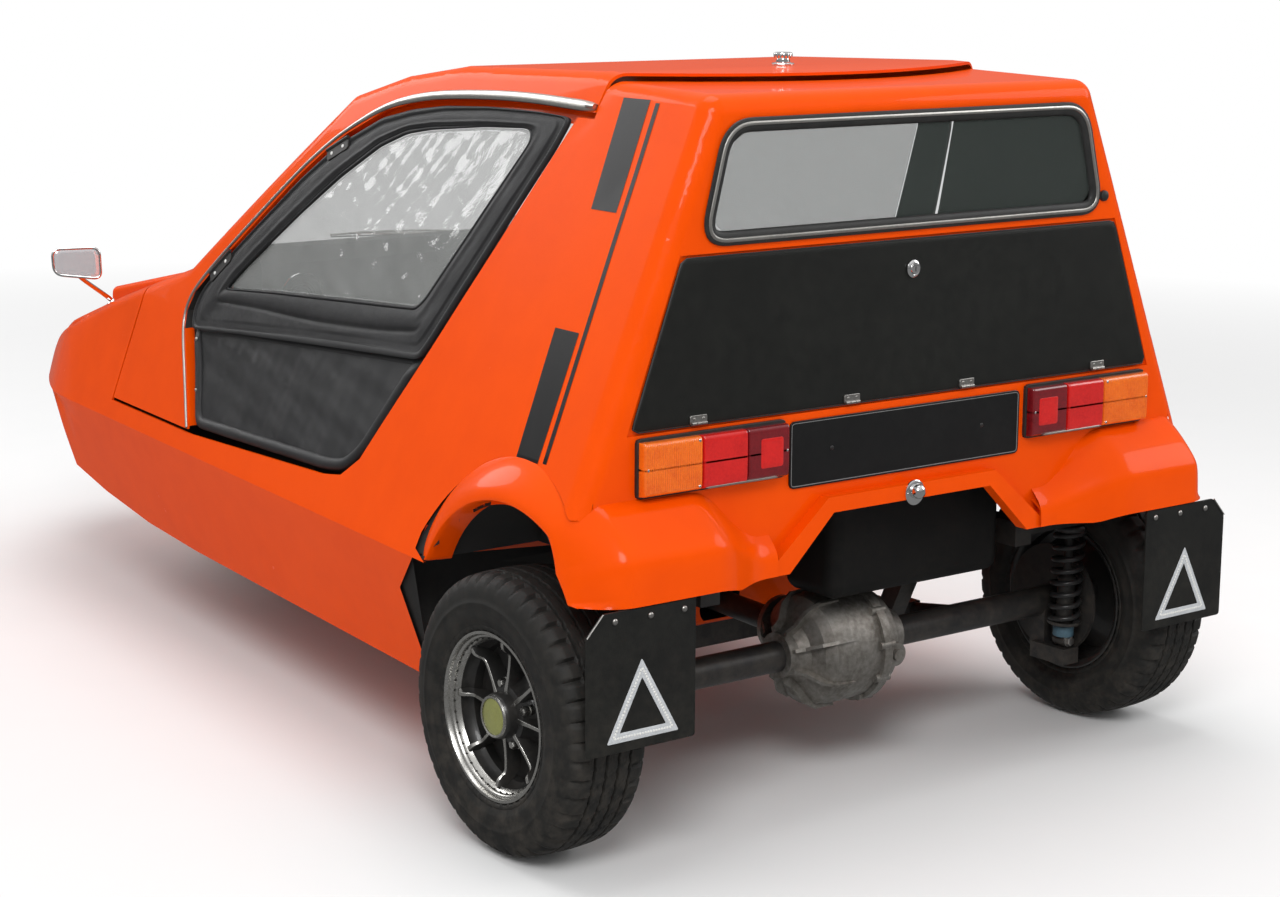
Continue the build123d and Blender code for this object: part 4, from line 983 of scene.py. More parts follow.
def lowerPanel():
    # The fixed vinyl panel: a roll round its edge, and a slack field
    loop = roundedLoop([(-0.226, 0.690), (-0.228, 0.660), (-0.180, 0.590), (-0.120, 0.492), (0.474, 0.513),
                        (0.542, 0.523), (0.590, 0.558), (0.630, 0.620), (0.701, 0.733), (0.690, 0.750)],
                       0.030, 260)

    def place(y, z, height):
        seam = 0.688 + (y + 0.22) * 0.0665
        below = np.clip((seam - 0.010 - z) / 0.030, 0, 1)
        roll = np.clip((height + 0.0105) / 0.008, 0, 1)
        slack = 0.0016 * ripple(y, z, 0.19, 1.0) + 0.0009 * ripple(z, y, 0.07, 3.0)
        lift = np.where(height < -0.0118, height, -0.0105 + 0.0080 * roll * below + slack * (1 - roll) *
                        below)
        return onSide(y, z, lift)
    edge = [(0.0, -0.0180), (0.0, -0.0119)]
    turnRows = [(0.011 - 0.011 * math.cos(t), -0.0105 + 0.0080 * math.sin(t)) for t in np.linspace(0, math.pi,
                                                                                                   11)]
    field = [(0.0225, -0.01075), (0.026, -0.0105)]
    return loopStack(loop, edge + turnRows + field, place, fill=26)


def screenWindow(spec):
    loop = screenLoops(spec)[1]
    middle = loop.mean(axis=0)
    layers = []
    for share in np.linspace(1.0, 0.0, 30)[:-1]:
        flat = middle + (loop - middle) * (0.9975 * share)
        wave = 0.0011 * ripple(flat[:, 0], flat[:, 1], 0.13, 2.0) + 0.0005 * ripple(flat[:, 1], flat[:, 0],
                                                                                    0.05, 5.0)
        layers.append(onSide(flat[:, 0], flat[:, 1], -0.0040 + wave * min(1.0, (1 - share) * 9)))
    return grid(np.array(layers), closeCols=True, capEnd=True)


def trimShape():
    # Alloy moulding: an arched section that widens into a drip rail over the door
    path = softLine(trimPath, 150)
    ahead = np.gradient(path, axis=0)
    ahead /= np.linalg.norm(ahead, axis=1)[:, None]
    across = np.stack([-ahead[:, 1], ahead[:, 0]], axis=1)
    s = np.linspace(0, 1, len(path))
    wide = np.interp(s, [0, 0.14, 0.20, 0.30, 0.52, 0.66, 0.97, 0.99, 1.0],
                     [3.0, 3.2, 3.4, 3.2, 3.6, 7.5, 9.0, 8.0, 4.5]) / 1000
    high = np.interp(s, [0, 0.52, 0.66, 1.0], [3.6, 3.4, 5.4, 5.6]) / 1000
    rows = []
    for angle in np.linspace(0, np.pi, 11):
        flat = path + across * (wide * math.cos(angle))[:, None]
        rows.append(onSide(flat[:, 0], flat[:, 1], 0.0004 + high * math.sin(angle) ** 0.8))
    rows.append(onSide(path[:, 0], path[:, 1], 0.0003))
    rail = grid(np.array(rows), closeRows=True)
    end = tube(onSide(path[-3:, 0], path[-3:, 1], 0.0052), 0.0046, 10)
    return [rail, end]


def hingeShapes():
    # Two black plates with white rivets each, and the barrel beside them
    plates, rivets = [], []
    for y0, z0, y1, z1 in ((-0.196, 0.782, -0.128, 0.834), (0.172, 1.050, 0.240, 1.080)):
        a, b = np.array([y0, z0]), np.array([y1, z1])
        d = (b - a) / np.linalg.norm(b - a)
        n = np.array([d[1], -d[0]])
        corners = [a, b, b + n * 0.021, a + n * 0.021]
        loop = roundedLoop(corners, 0.007, 40)
        plates.append(loopStack(loop, [(0, -0.002), (0, 0.0046), (0.0008, 0.0054)], onSide, fill=2))
        line = np.linspace(0, 1, 9)[:, None] * (b - a) + a - n * 0.001
        plates.append(tube(onSide(line[:, 0], line[:, 1], 0.0052), 0.0034, 12))
        for share in (0.24, 0.76):
            spot = a + (b - a) * share + n * 0.011
            at = onSide(spot[0], spot[1], 0.0054)
            out = onSide(spot[0], spot[1], 0.0154) - at
            rivets.append(screwHead(at, out, 0.0036, 0.0020))
    return plates, rivets


def besideEdge(edge, other, distance):
    # A line beside one outline of the frame, towards the other one
    return edge + (other - edge) * (distance / np.linalg.norm(other - edge, axis=1))[:, None]


outerLoop, innerLoop = screenLoops(screenSpec)[:2]
sideOut = onSide(np.float64(0.3), np.float64(0.9), 1.0) - onSide(np.float64(0.3), np.float64(0.9), 0.0)
threads = []
for seam, lift in ((besideEdge(outerLoop, innerLoop, 0.0128), 0.0012),
                   (besideEdge(innerLoop, outerLoop, 0.0098), 0.0016)):
    threads.append(stitchRow(onSide(seam[:, 0], seam[:, 1], lift), sideOut))
plates, rivets = hingeShapes()
panelScrews = [screwHead(onSide(y, z, -0.0035), sideOut, 0.0042, 0.0022)
               for y, z in ((-0.206, 0.653), (-0.150, 0.560))]
frames = putPair("screenVinyl_{}", screenFrame(screenSpec), "blackVinyl", "side_screen_{}", "black_vinyl",
                 "screen_frame_{}", sharp=60)
panes = putPair("screenClear_{}", screenWindow(screenSpec), "clearSheet", "side_screen_{}", "clear_sheet",
                "screen_window_{}", outward=False)
panels = putPair("panelVinyl_{}", lowerPanel(), "blackVinyl", "canopy", "black_vinyl", "lower_panel_{}",
                 sharp=60, outward=False)
for hand in ("left", "right"):
    addModifier(panes[hand], "SOLIDIFY", thickness=0.0006, offset=-1.0)
putPair("screenStitches_{}", threads, "threadBlack", "side_screen_{}", "black_vinyl", outward=False)
putPair("screenHinges_{}", plates, "blackPaint", "side_screen_{}", "black_paint")
putPair("screenRivets_{}", rivets, "dialWhite", "side_screen_{}", "satin_steel")
putPair("panelScrews_{}", panelScrews, "satinSteel", "canopy", "satin_steel")
putPair("dripRail_{}", trimShape(), "alloyTrim", "canopy", "alloy_trim", "side_trim_{}")
print("stage: side screens made")

# Rear face: window rubber with a bright insert, boot panel, lamps, plate and their small parts

rearSpec = {"window": [(-0.446, 0.985), (0.446, 0.985), (0.398, 1.172), (-0.398, 1.172)], "corner": 0.050,
            "lampOuter": 0.568, "lampInner": 0.275, "lampLow": 0.602, "lampHigh": 0.690, "lampDepth": 0.0235,
            "amberFrom": 0.453, "redFrom": 0.362, "lensGap": 0.0008, "ribs": 27}
backwards = (0, 1, 0)


def box2(x0, z0, x1, z1, corner, count):
    # A rectangle with round corners, from its low to its high corner
    return roundedLoop([(x0, z0), (x1, z0), (x1, z1), (x0, z1)], corner, count)


def bead(inset, height, wide, tall, count):
    # A round insert: an ellipse of (inset, height) points
    return [(inset + wide * math.cos(a), height + tall * math.sin(a))
            for a in np.linspace(0, 2 * math.pi, count + 1)[:-1]]


windowLoop = roundedLoop(rearSpec["window"], rearSpec["corner"], 240)
section = [(0.000, 0.0002), (-0.004, 0.0010), (-0.0052, 0.0030), (-0.0040, 0.0052), (0.0000, 0.0064),
           (0.0050, 0.0066), (0.0110, 0.0058), (0.0155, 0.0042), (0.0178, 0.0012), (0.0180, -0.0020),
           (0.0080, -0.0036), (0.0010, -0.0020)]
putPiece("windowRubber", sweepLoop(windowLoop, section, onRear), "rubber", "body", "rubber",
         ("rear_window_seal",))
putPiece("windowInsert", sweepLoop(windowLoop, bead(0.0040, 0.0064, 0.0034, 0.0021, 9), onRear), "alloyTrim",
         "body", "chrome")

# Boot panel: a flat sheet with a turned edge and round corners, slightly bowed
lidLoop = roundedLoop([(-0.577, 0.704), (0.577, 0.704), (0.481, 0.964), (-0.481, 0.964)], 0.010, 220)


def lidBow(x, z):
    return 0.0004 * ripple(x, z, 0.55, 0.5)


lidRows = [(0.003, -0.0040), (0, -0.0036), (0, 0.0018), (0.0004, 0.0026), (0.0012, 0.0030), (0.008, 0.0030)]
putPiece("bootPanel", loopStack(lidLoop, lidRows, onRear, fill=14, base=True, bump=lidBow), "panelBlack",
         "boot_lid", "panel_black", ("boot_lid",), sharp=50)
lidEdge = [(-0.0022, 0.0002), (-0.0026, 0.0016), (-0.0014, 0.0027), (0.0000, 0.0024), (-0.0006, 0.0002)]
putPiece("lidEdge", sweepLoop(lidLoop, lidEdge, onRear), "rubber", "boot_lid", "rubber")
lidHinges, pins = [], []
hingePin = np.array([0, 1.3194, 0.706])
for x in (-0.450, -0.130, 0.130, 0.450):
    leaf = box2(x - 0.017, 0.7055, x + 0.017, 0.7190, 0.002, 32)
    lidHinges.append(loopStack(leaf, [(0, 0.0028), (0, 0.0052), (0.0006, 0.0057)], onRear, fill=2))
    for x0, x1 in ((-0.0150, -0.0058), (-0.0050, 0.0050), (0.0058, 0.0150)):
        knuckle = np.linspace(0, 1, 3)[:, None] * np.array([x1 - x0, 0, 0]) + hingePin + (x + x0, 0, 0)
        lidHinges.append(tube(knuckle, 0.0030, 14))
    for dx in (-0.009, 0.009):
        pins.append(screwHead((x + dx, 1.3187, 0.7135), backwards, 0.0024, 0.0012))
putPiece("hingeLeaves", lidHinges + pins, "satinSteel", "boot_lid", "satin_steel", ("lid_hinges",))
lockBody = turned([(0.0030, 0.0142), (0.0040, 0.0150), (0.0060, 0.0148), (0.0078, 0.0128), (0.0086, 0.0105),
                   (0.0082, 0.0095), (0.0100, 0.0086), (0.0104, 0.0070), (0.0102, 0.0015)],
                  (0, side["faceY"], 0.916), backwards, 48)
# The key slot is a thin black slab laid on the lock's face: painted shade for the dark hollow of the slot
keySlotShade = loopStack(box2(-0.0007, 0.9115, 0.0007, 0.9205, 0.0005, 20), [(0, 0.0100), (0, 0.0106)], onRear,
                    fill=2)
putPiece("lidLock", lockBody, "chrome", "boot_lid", "chrome", ("lid_lock",))
putPiece("keySlotShade", keySlotShade, "lensGap", "boot_lid", "black_paint")
button = turned([(0, 0.0095), (0.002, 0.0098), (0.0055, 0.0090), (0.0075, 0.0066), (0.0082, 0.0020)],
                (-0.4520, side["faceY"], 1.011), backwards, 32)
putPiece("sideButton", button, "rubber", "body", "rubber")


def lensShape(x0, x1, crown, ribs=0, ribHeight=0.0008):
    # A lens over a lamp: height of a rounded rectangle section, with upright ribs as a wave along x
    spec = rearSpec
    cols = 12 * max(ribs, 6)
    a = np.linspace(0, 1, cols + 1)
    x = x0 + (x1 - x0) * a
    edge = np.minimum(a, 1 - a) * abs(x1 - x0)
    shoulder = np.sqrt(np.clip(1 - (1 - np.clip(edge / 0.0035, 0, 1)) ** 2, 0, 1))
    z = np.array([0, 0.0, 0.0006, 0.002, 0.0045, 0.008, 0.014, 0.022, 0.034, 0.044])
    z = np.concatenate([spec["lampLow"] + 0.0015 + z, (spec["lampHigh"] - 0.0015 - z)[::-1]])
    rise = np.array([0.25, 0.62, 0.80, 0.90, 0.955, 0.98, 0.992, 0.997, 1.0, 1.0])
    rise = np.concatenate([rise, rise[::-1]])
    wave = ribHeight * np.cos(a * ribs * 2 * np.pi) * (edge > 0.004) if ribs else 0 * a
    inner = np.clip((rise - 0.95) / 0.04, 0, 1)
    y = spec["lampDepth"] * crown * (rise[:, None] * (0.55 + 0.45 * shoulder[None, :]))
    y = y + wave[None, :] * inner[:, None]
    xs, zs = np.meshgrid(x, z)
    points = np.stack([xs, side["faceY"] + np.maximum(y, 0.001), zs], axis=-1)
    back = points.copy()
    back[..., 1] = side["faceY"] + 0.0006
    rims = [np.stack([points[:, k], back[:, k]]) for k in (0, -1)]
    rims += [np.stack([points[k], back[k]]) for k in (0, -1)]
    return joinShapes([grid(points), grid(back[[0, -1]])] + [grid(rim) for rim in rims])


gasket = loopStack(box2(rearSpec["lampInner"] - 0.003, 0.5985, rearSpec["lampOuter"] + 0.003, 0.6935, 0.008,
                        120), [(0, -0.0005), (0, 0.0060), (0.0010, 0.0070), (0.004, 0.0072)], onRear, fill=3)
putPair("lampGasket_{}", gasket, "rubber", "body", "rubber", "tail_lamp_{}")
lensGap = rearSpec["lensGap"]
for lens, x0, x1, crown, ribs in (("Amber", rearSpec["amberFrom"], rearSpec["lampOuter"], 0.97,
                                   rearSpec["ribs"]), ("Red", rearSpec["redFrom"],
                                                       rearSpec["amberFrom"] - lensGap, 1.0, 0),
                                  ("Dark", rearSpec["lampInner"], rearSpec["redFrom"] - lensGap, 0.94, 0)):
    putPair("lamp" + lens + "_{}", lensShape(x0, x1, crown, ribs), "lens" + lens, "body", "lamp_red",
            sharp=45)
reflex = loopStack(box2(0.290, 0.622, 0.336, 0.670, 0.004, 60), [(0, 0.0205), (0, 0.0222), (0.0015, 0.0228)],
                   onRear, fill=4)
putPair("lampReflex_{}", reflex, "lensRed", "body", "lamp_red")
lampScrews = [screwHead((x, side["faceY"] + d, z), backwards, 0.0028, 0.0014)
              for x, z, d in ((0.5610, 0.646, 0.0222), (0.4600, 0.6825, 0.0222), (0.4600, 0.6095, 0.0222),
                              (0.2810, 0.646, 0.0212))]
putPair("lampScrews_{}", lampScrews, "chrome", "body", "chrome")
strip = loopStack(box2(0.300, 0.6035, 0.448, 0.6065, 0.001, 40), [(0, 0.018), (0, 0.0225), (0.0004, 0.0229)],
                  onRear, fill=2)
putPair("lampStrip_{}", strip, "alloyTrim", "body", "chrome")

# Number plate left blank: pressed edge, two screws, and a round lamp under it
plateLoop = box2(-0.260, 0.575, 0.260, 0.686, 0.010, 200)
plateRows = [(0, 0.0003), (0, 0.0030), (0.0006, 0.0035), (0.0026, 0.0035), (0.0034, 0.0029), (0.0044, 0.0028)]
putPiece("plateBlank", loopStack(plateLoop, plateRows, onRear, fill=10), "plateBlack", "body", "plate_black",
         ("number_plate",), sharp=40)
rimLine = sweepLoop(plateLoop, [(0.0028, 0.0031), (0.0031, 0.0036), (0.0040, 0.0036), (0.0043, 0.0028)],
                    onRear)
putPiece("plateEdge", rimLine, "plateEdge", "body", "plate_black")
plateScrews = [screwHead((x, side["faceY"] + 0.0028, 0.634), backwards, 0.0040, 0.0020) for x in (-0.170,
                                                                                                  0.170)]
putPiece("plateScrews", plateScrews, "blackPaint", "body", "black_paint")
lampFoot = turned([(-0.0010, 0.0215), (0.0018, 0.0215), (0.0030, 0.0200), (0.0034, 0.0140)],
                  (0, 1.3340, 0.541), backwards, 48)
hood = turned([(0.0020, 0.0125), (0.0080, 0.0128), (0.0130, 0.0122), (0.0170, 0.0105), (0.0200, 0.0070),
               (0.0212, 0.0020)], (0, 1.3340, 0.543), (0, 1, 0.15), 40)
footScrews = [screwHead((x, 1.3370, 0.541), backwards, 0.0022, 0.0012) for x in (-0.0172, 0.0172)]
putPiece("plateLampHood", [lampFoot, hood] + footScrews, "chrome", "body", "chrome", ("plate_lamp",))

# Mudflaps: rubber sheets with a bright clip edge, three bolts and a dotted reflective triangle
flapSpec = {"outline": [(0.512, 0.229), (0.721, 0.229), (0.721, 0.418), (0.690, 0.4517), (0.512, 0.4517)],
            "y": 1.3950, "sunk": 0.0003, "triangle": [(0.617, 0.372), (0.683, 0.245), (0.545, 0.245)],
            "inRadius": 0.0409, "band": 0.0145, "beads": 66}


def onFlap(x, z, lift=0.0):
    return np.stack([x, flapSpec["y"] - flapSpec["sunk"] + lift + 0 * x, z], axis=-1)


flapShape = loopStack(roundedLoop(flapSpec["outline"], 0.006, 200), [(0, -0.0032), (0, -0.0006),
                                                                     (0.0004, -0.0001), (0.0012, 0.0)],
                      onFlap, fill=6, base=True)
outerTriangle = roundedLoop(flapSpec["triangle"], 0.003, 180)
middle = np.mean(flapSpec["triangle"], axis=0)


def triangleAt(offset):
    # The triangle drawn in towards its middle, so that its sides move in by the offset
    return middle + (outerTriangle - middle) * (1 - offset / flapSpec["inRadius"])


band = flapSpec["band"]
bandRows = [(0.0, -0.0001), (0.0, 0.0006), (0.0005, 0.0008), (band - 0.0005, 0.0008), (band, 0.0006),
            (band, -0.0001)]
bandShape = grid(np.array([onFlap(*triangleAt(offset).T, lift) for offset, lift in bandRows]), closeCols=True)
beads = [screwHead((x, flapSpec["y"] + 0.0003, z), backwards, 0.0022, 0.0012)
         for x, z in evenly(triangleAt(0.0072), flapSpec["beads"], closed=True)]
clip = tube(onFlap(np.linspace(0.7205, 0.6905, 6), np.linspace(0.4185, 0.4512, 6), 0.0006), 0.0012, 8)
flapBolts = [screwHead((x, flapSpec["y"], 0.437), backwards, 0.0052, 0.0030) for x in (0.535, 0.600, 0.668)]
putPair("flapSheet_{}", flapShape, "flapRubber", "body", "rubber", "mudflap_{}")
putPair("flapTriangle_{}", bandShape, "reflector", "body", "satin_steel", outward=False)
putPair("flapBeads_{}", beads, "dialWhite", "body", "satin_steel")
putPair("flapBolts_{}", flapBolts + [clip], "satinSteel", "body", "satin_steel")
print("stage: rear face made")

# Springs, mirrors, roof knob, windscreen trim, wiper and headlamps

springSpec = {"turns": 7.5, "endTurns": 1.4, "wire": 0.0050, "outer": 0.0308, "body": 0.0165,
              "sleeve": 0.0195, "from": 0.225, "to": 0.965, "endRise": 0.012}


def springShapes(low, high):
    # Coil round a damper: helix radius outer - wire, closed at both ends, with perches, a sleeve and an eye
    spec = springSpec
    low, high = np.array(low, float), np.array(high, float)
    n = np.linalg.norm(high - low)
    axis = (high - low) / n
    u = np.cross(axis, [1.0, 0.0, 0.0])
    u /= np.linalg.norm(u)
    v = np.cross(axis, u)
    t = np.linspace(0, 1, int(spec["turns"] * 28) + 1)
    angle = t * (spec["turns"] + spec["endTurns"]) * 2 * np.pi
    rise = spec["from"] + (spec["to"] - spec["from"]) * np.clip((t - 0.07) / 0.86, 0, 1)
    rise = rise + spec["endRise"] * (np.clip((t - 0.93) / 0.07, 0, 1) - np.clip(1 - t / 0.07, 0, 1))
    ring = np.cos(angle)[:, None] * u + np.sin(angle)[:, None] * v
    coil = tube(low + axis * (rise * n)[:, None] + ring * (spec["outer"] - spec["wire"]), spec["wire"], 12)
    body, sleeveR = spec["body"], spec["sleeve"]
    damper = turned([(0.020, 0.010), (0.021, body), (n * 0.56, body), (n * 0.565, 0.0150), (n * 0.60, 0.0085),
                     (n - 0.003, 0.0082)], low, axis, 28)
    perch = turned([(n * 0.185, body), (n * 0.187, 0.0300), (n * 0.193, 0.0314), (n * 0.210, 0.0314),
                    (n * 0.214, 0.0300), (n * 0.212, 0.0270), (n * 0.199, 0.0255), (n * 0.199, body)],
                   low, axis, 40)
    top = turned([(n - 0.013, 0.0085), (n - 0.013, 0.0262), (n - 0.010, 0.0292), (n - 0.004, 0.0292),
                  (n - 0.001, 0.0262), (n - 0.001, 0.0085)], low, axis, 40)
    sleeve = turned([(n * 0.085, body), (n * 0.087, sleeveR - 0.0008), (n * 0.092, sleeveR),
                     (n * 0.165, sleeveR), (n * 0.170, sleeveR - 0.0008), (n * 0.172, body)], low, axis, 40)
    eyeMiddle = low + axis * 0.012
    eye = turned([(-0.0150, 0.0060), (-0.0155, 0.0115), (-0.0140, 0.0128), (0.0140, 0.0128), (0.0155, 0.0115),
                  (0.0150, 0.0060)], eyeMiddle, backwards, 32)
    nut = [bolt(eyeMiddle + np.array([0, 0.0155, 0]), backwards, 0.0088, 0.0070),
           turned([(0.0148, 0.0112), (0.0158, 0.0112), (0.0160, 0.0100)], eyeMiddle, backwards, 24)]
    return coil, [damper, perch, top, eye], sleeve, nut


springPlaces = {"rear_left": ((0.515, 1.200, 0.1592), (0.515, 1.208, 0.3934), "rear_spring_left"),
                "rear_right": ((-0.515, 1.200, 0.1592), (-0.515, 1.208, 0.3934), "rear_spring_right"),
                "front": ((0.232, -0.706, 0.3264), (0.232, -0.662, 0.5470), "front_spring")}
for place, (low, high, node) in springPlaces.items():
    coil, damper, sleeve, nut = springShapes(low, high)
    putPiece("springCoil_" + place, coil, "springBlack", "body", "spring_steel", (node,))
    putPiece("damper_" + place, damper, "blackPaint", "body", "spring_steel")
    putPiece("damperSleeve_" + place, sleeve, "sleeveBlue", "body", "spring_steel")
    putPiece("damperNut_" + place, nut, "satinSteel", "body", "satin_steel")

# Door mirrors: a rounded shell with a glass set in it, on a bent stalk with a domed foot
mirrorSpec = {"outline": [(0.5055, 0.7160), (0.6115, 0.7300), (0.6140, 0.7900), (0.5070, 0.7900)],
              "corner": 0.022, "front": -0.7003, "depth": 0.0215, "stalk": 0.0048,
              "foot": (0.4400, -0.8000, 0.668), "middle": (0.560, -0.711, 0.752), "swing": -15.0, "tip": 4.0}


def onMirror(x, z, lift):
    return np.stack([x, mirrorSpec["front"] - lift, z], axis=-1)


mirrorLoop = roundedLoop(mirrorSpec["outline"], mirrorSpec["corner"], 160)
shellRows = [(0.0062, 0.0030), (0.0052, 0.0008), (0.0034, 0.0), (0.0012, 0.0004), (0.0, 0.0022),
             (0.0002, 0.0050)]
for a in np.linspace(0.15, 1.0, 9) * math.pi / 2:
    shellRows.append((0.0002 + 0.0320 * (1 - math.cos(a)),
                      0.0050 + (mirrorSpec["depth"] - 0.0052) * math.sin(a)))
faceRows = [(0.0058, 0.0036), (0.0058, 0.0016), (0.0066, 0.0011)]
# The head is turned outwards and a little up, about its middle
swing, tip = math.radians(mirrorSpec["swing"]), math.radians(mirrorSpec["tip"])
turnZ = np.array([[math.cos(swing), -math.sin(swing), 0], [math.sin(swing), math.cos(swing), 0], [0, 0, 1]])
turnX = np.array([[1, 0, 0], [0, math.cos(tip), -math.sin(tip)], [0, math.sin(tip), math.cos(tip)]])
headMiddle = np.array(mirrorSpec["middle"])
mirrorShell, mirrorFace = (
    moved(moved(loopStack(mirrorLoop, rows, onMirror, fill=5, base=True), None, -headMiddle), turnZ @ turnX,
          headMiddle) for rows in (shellRows, faceRows))
footPlace, footUp = bodySkin.closest_point_on_mesh(mirrorSpec["foot"])[1:3]
footUp = np.array(footUp) * (1 if footUp.z > 0 else -1)
footPlace = np.array(footPlace)
footShape = turned([(-0.002, 0.0150), (0.0015, 0.0148), (0.0035, 0.0135), (0.0060, 0.0105), (0.0095, 0.0078),
                    (0.0140, 0.0066), (0.0155, 0.0040)], footPlace, footUp, 40)
bend = footPlace + footUp * 0.012
stalkPath = softLine([footPlace + footUp * 0.002, bend, bend + (0.020, 0.012, 0.014), (0.535, -0.738, 0.716),
                      (0.553, -0.7235, 0.7300), (0.560, -0.7170, 0.7420)], 40)
stalk = tube(stalkPath, np.linspace(mirrorSpec["stalk"] * 1.08, mirrorSpec["stalk"] * 0.92, 40), 16)
ball = turned([(-0.0075, 0.002), (-0.0068, 0.0050), (-0.0040, 0.0075), (0.0, 0.0085), (0.0040, 0.0075),
               (0.0068, 0.0050), (0.0075, 0.002)], (0.560, -0.7190, 0.7430), (0.3, 0.5, 0.8), 24)
putPair("mirrorShell_{}", [mirrorShell, footShape, stalk, ball], "chrome", "body", "chrome", "mirror_{}",
        sharp=50)
putPair("mirrorFace_{}", mirrorFace, "mirrorGlass", "body", "glass")

# Roof knob: a flanged base, a waist and a fluted cap
knobSpec = {"y": 0.976, "z": 1.2352, "flutes": 16, "fluteDepth": 0.0007}
knobBase = turned([(0.0000, 0.0198), (0.0016, 0.0198), (0.0030, 0.0186), (0.0036, 0.0142), (0.0050, 0.0122),
                   (0.0092, 0.0118), (0.0112, 0.0130), (0.0120, 0.0100)], (0, knobSpec["y"], knobSpec["z"]),
                  (0, 0, 1), 64)
a = np.linspace(0, 2 * np.pi, 96, endpoint=False)
capRows = []
for height, radius, flute in ((0.0112, 0.0100, 0), (0.0114, 0.0158, 0.3), (0.0122, 0.0166, 1),
                              (0.0188, 0.0166, 1), (0.0204, 0.0158, 0.4), (0.0213, 0.0136, 0),
                              (0.0215, 0.0100, 0), (0.0211, 0.0085, 0), (0.0211, 0.0020, 0)):
    r = radius - knobSpec["fluteDepth"] * flute * (0.5 + 0.5 * np.cos(a * knobSpec["flutes"])) ** 4
    capRows.append(np.stack([r * np.cos(a), knobSpec["y"] + r * np.sin(a),
                             np.full(len(a), knobSpec["z"] + height)], axis=1))
putPiece("roofKnob", [knobBase, grid(np.array(capRows), closeCols=True, capStart=True, capEnd=True)],
         "chrome", "canopy", "chrome", ("roof_knob",))

# Windscreen: rubber with a bright insert, and a wiper
screenLean = math.atan2(1.152 + skinSpec["roofRise"] * 0.3 - side["screenFoot"][1], 0.516)


def onScreen(x, up, lift):
    c, s = math.cos(screenLean), math.sin(screenLean)
    footY, footZ = side["screenFoot"]
    return np.stack([x, footY + up * c - lift * s, footZ + up * s + lift * c], axis=-1)


frontLoop = roundedLoop([(-0.428, 0.048), (0.428, 0.048), (0.350, 0.592), (-0.350, 0.592)], 0.046, 240)
frontSection = [(0.0006, -0.0070), (0.0004, 0.0000), (-0.0020, 0.0004), (-0.0028, 0.0022), (-0.0012, 0.0040),
                (0.0030, 0.0050), (0.0080, 0.0046), (0.0125, 0.0028), (0.0139, 0.0002), (0.0139, -0.0060)]
putPiece("screenRubber", sweepLoop(frontLoop, frontSection, onScreen), "rubber", "canopy", "rubber",
         ("windscreen_seal",))
putPiece("screenInsert", sweepLoop(frontLoop, bead(0.0040, 0.0048, 0.0032, 0.0018, 8), onScreen), "alloyTrim",
         "canopy", "chrome")


def screenPoint(x, up, lift):
    return onScreen(np.float64(x), np.float64(up), np.float64(lift))


screenUp = screenPoint(0, 0, 1) - screenPoint(0, 0, 0)
pivot = turned([(0.0008, 0.0110), (0.0060, 0.0110), (0.0090, 0.0088), (0.0130, 0.0080), (0.0200, 0.0078),
                (0.0240, 0.0050)], screenPoint(-0.150, 0.024, 0), screenUp, 32)
armLine = [screenPoint(-0.150 + 0.262 * k, 0.024 + 0.041 * k,
                       0.0200 - 0.0020 * k - 0.002 * math.sin(k * math.pi)) for k in np.linspace(0, 1, 14)]
arm = tube(armLine, np.linspace(0.0048, 0.0026, 14), 10)
bladeStart = screenPoint(-0.134, 0.0545, 0.0050)
bladeRun = screenPoint(0.190, 0.0775, 0.0050) - bladeStart
bladeLine = bladeStart + np.linspace(0, 1, 24)[:, None] * bladeRun
squeegee = tube(bladeLine, 0.0014, 8)
boneRise = 0.0044 + 0.0050 * np.sin(np.linspace(0, math.pi, 24))
backBone = tube(bladeLine + screenUp * boneRise[:, None], 0.0021, 10)
claws = []
for k in (0.04, 0.34, 0.66, 0.96):
    clawTop = 0.0052 + 0.0044 * math.sin(k * math.pi)
    claws.append(tube([bladeStart + bladeRun * k + screenUp * h for h in (0.0, 0.0042, clawTop)], 0.0026, 10))
armTip = screenPoint(0.112, 0.065, 0.0180)
joint = tube([armTip, armTip + (0, 0, -0.004), bladeStart + bladeRun * 0.76 + screenUp * 0.008], 0.0032, 10)
putPiece("wiperArm", [pivot, arm, backBone, joint] + claws, "satinSteel", "canopy", "satin_steel", ("wiper",))
putPiece("wiperBlade", squeegee, "rubber", "canopy", "rubber")

# Headlamps: a bright bezel round the pod's mouth, a bowl behind and a ribbed lens
zLow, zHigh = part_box("headlamp_left")[0].z + 0.0006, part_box("headlamp_left")[1].z - 0.0006
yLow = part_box("headlamp_left")[0].y
lampLoop = box2(0.2112, zLow, 0.3988, zHigh, 0.008, 140)


def onLamp(x, z, lift):
    return np.stack([x, yLow + 0.001 - lift + 0 * x, z], axis=-1)


def lensWave(x, z):
    return 0.0006 * np.cos((x - 0.305) / 0.0078 * 2 * np.pi) + 0 * z


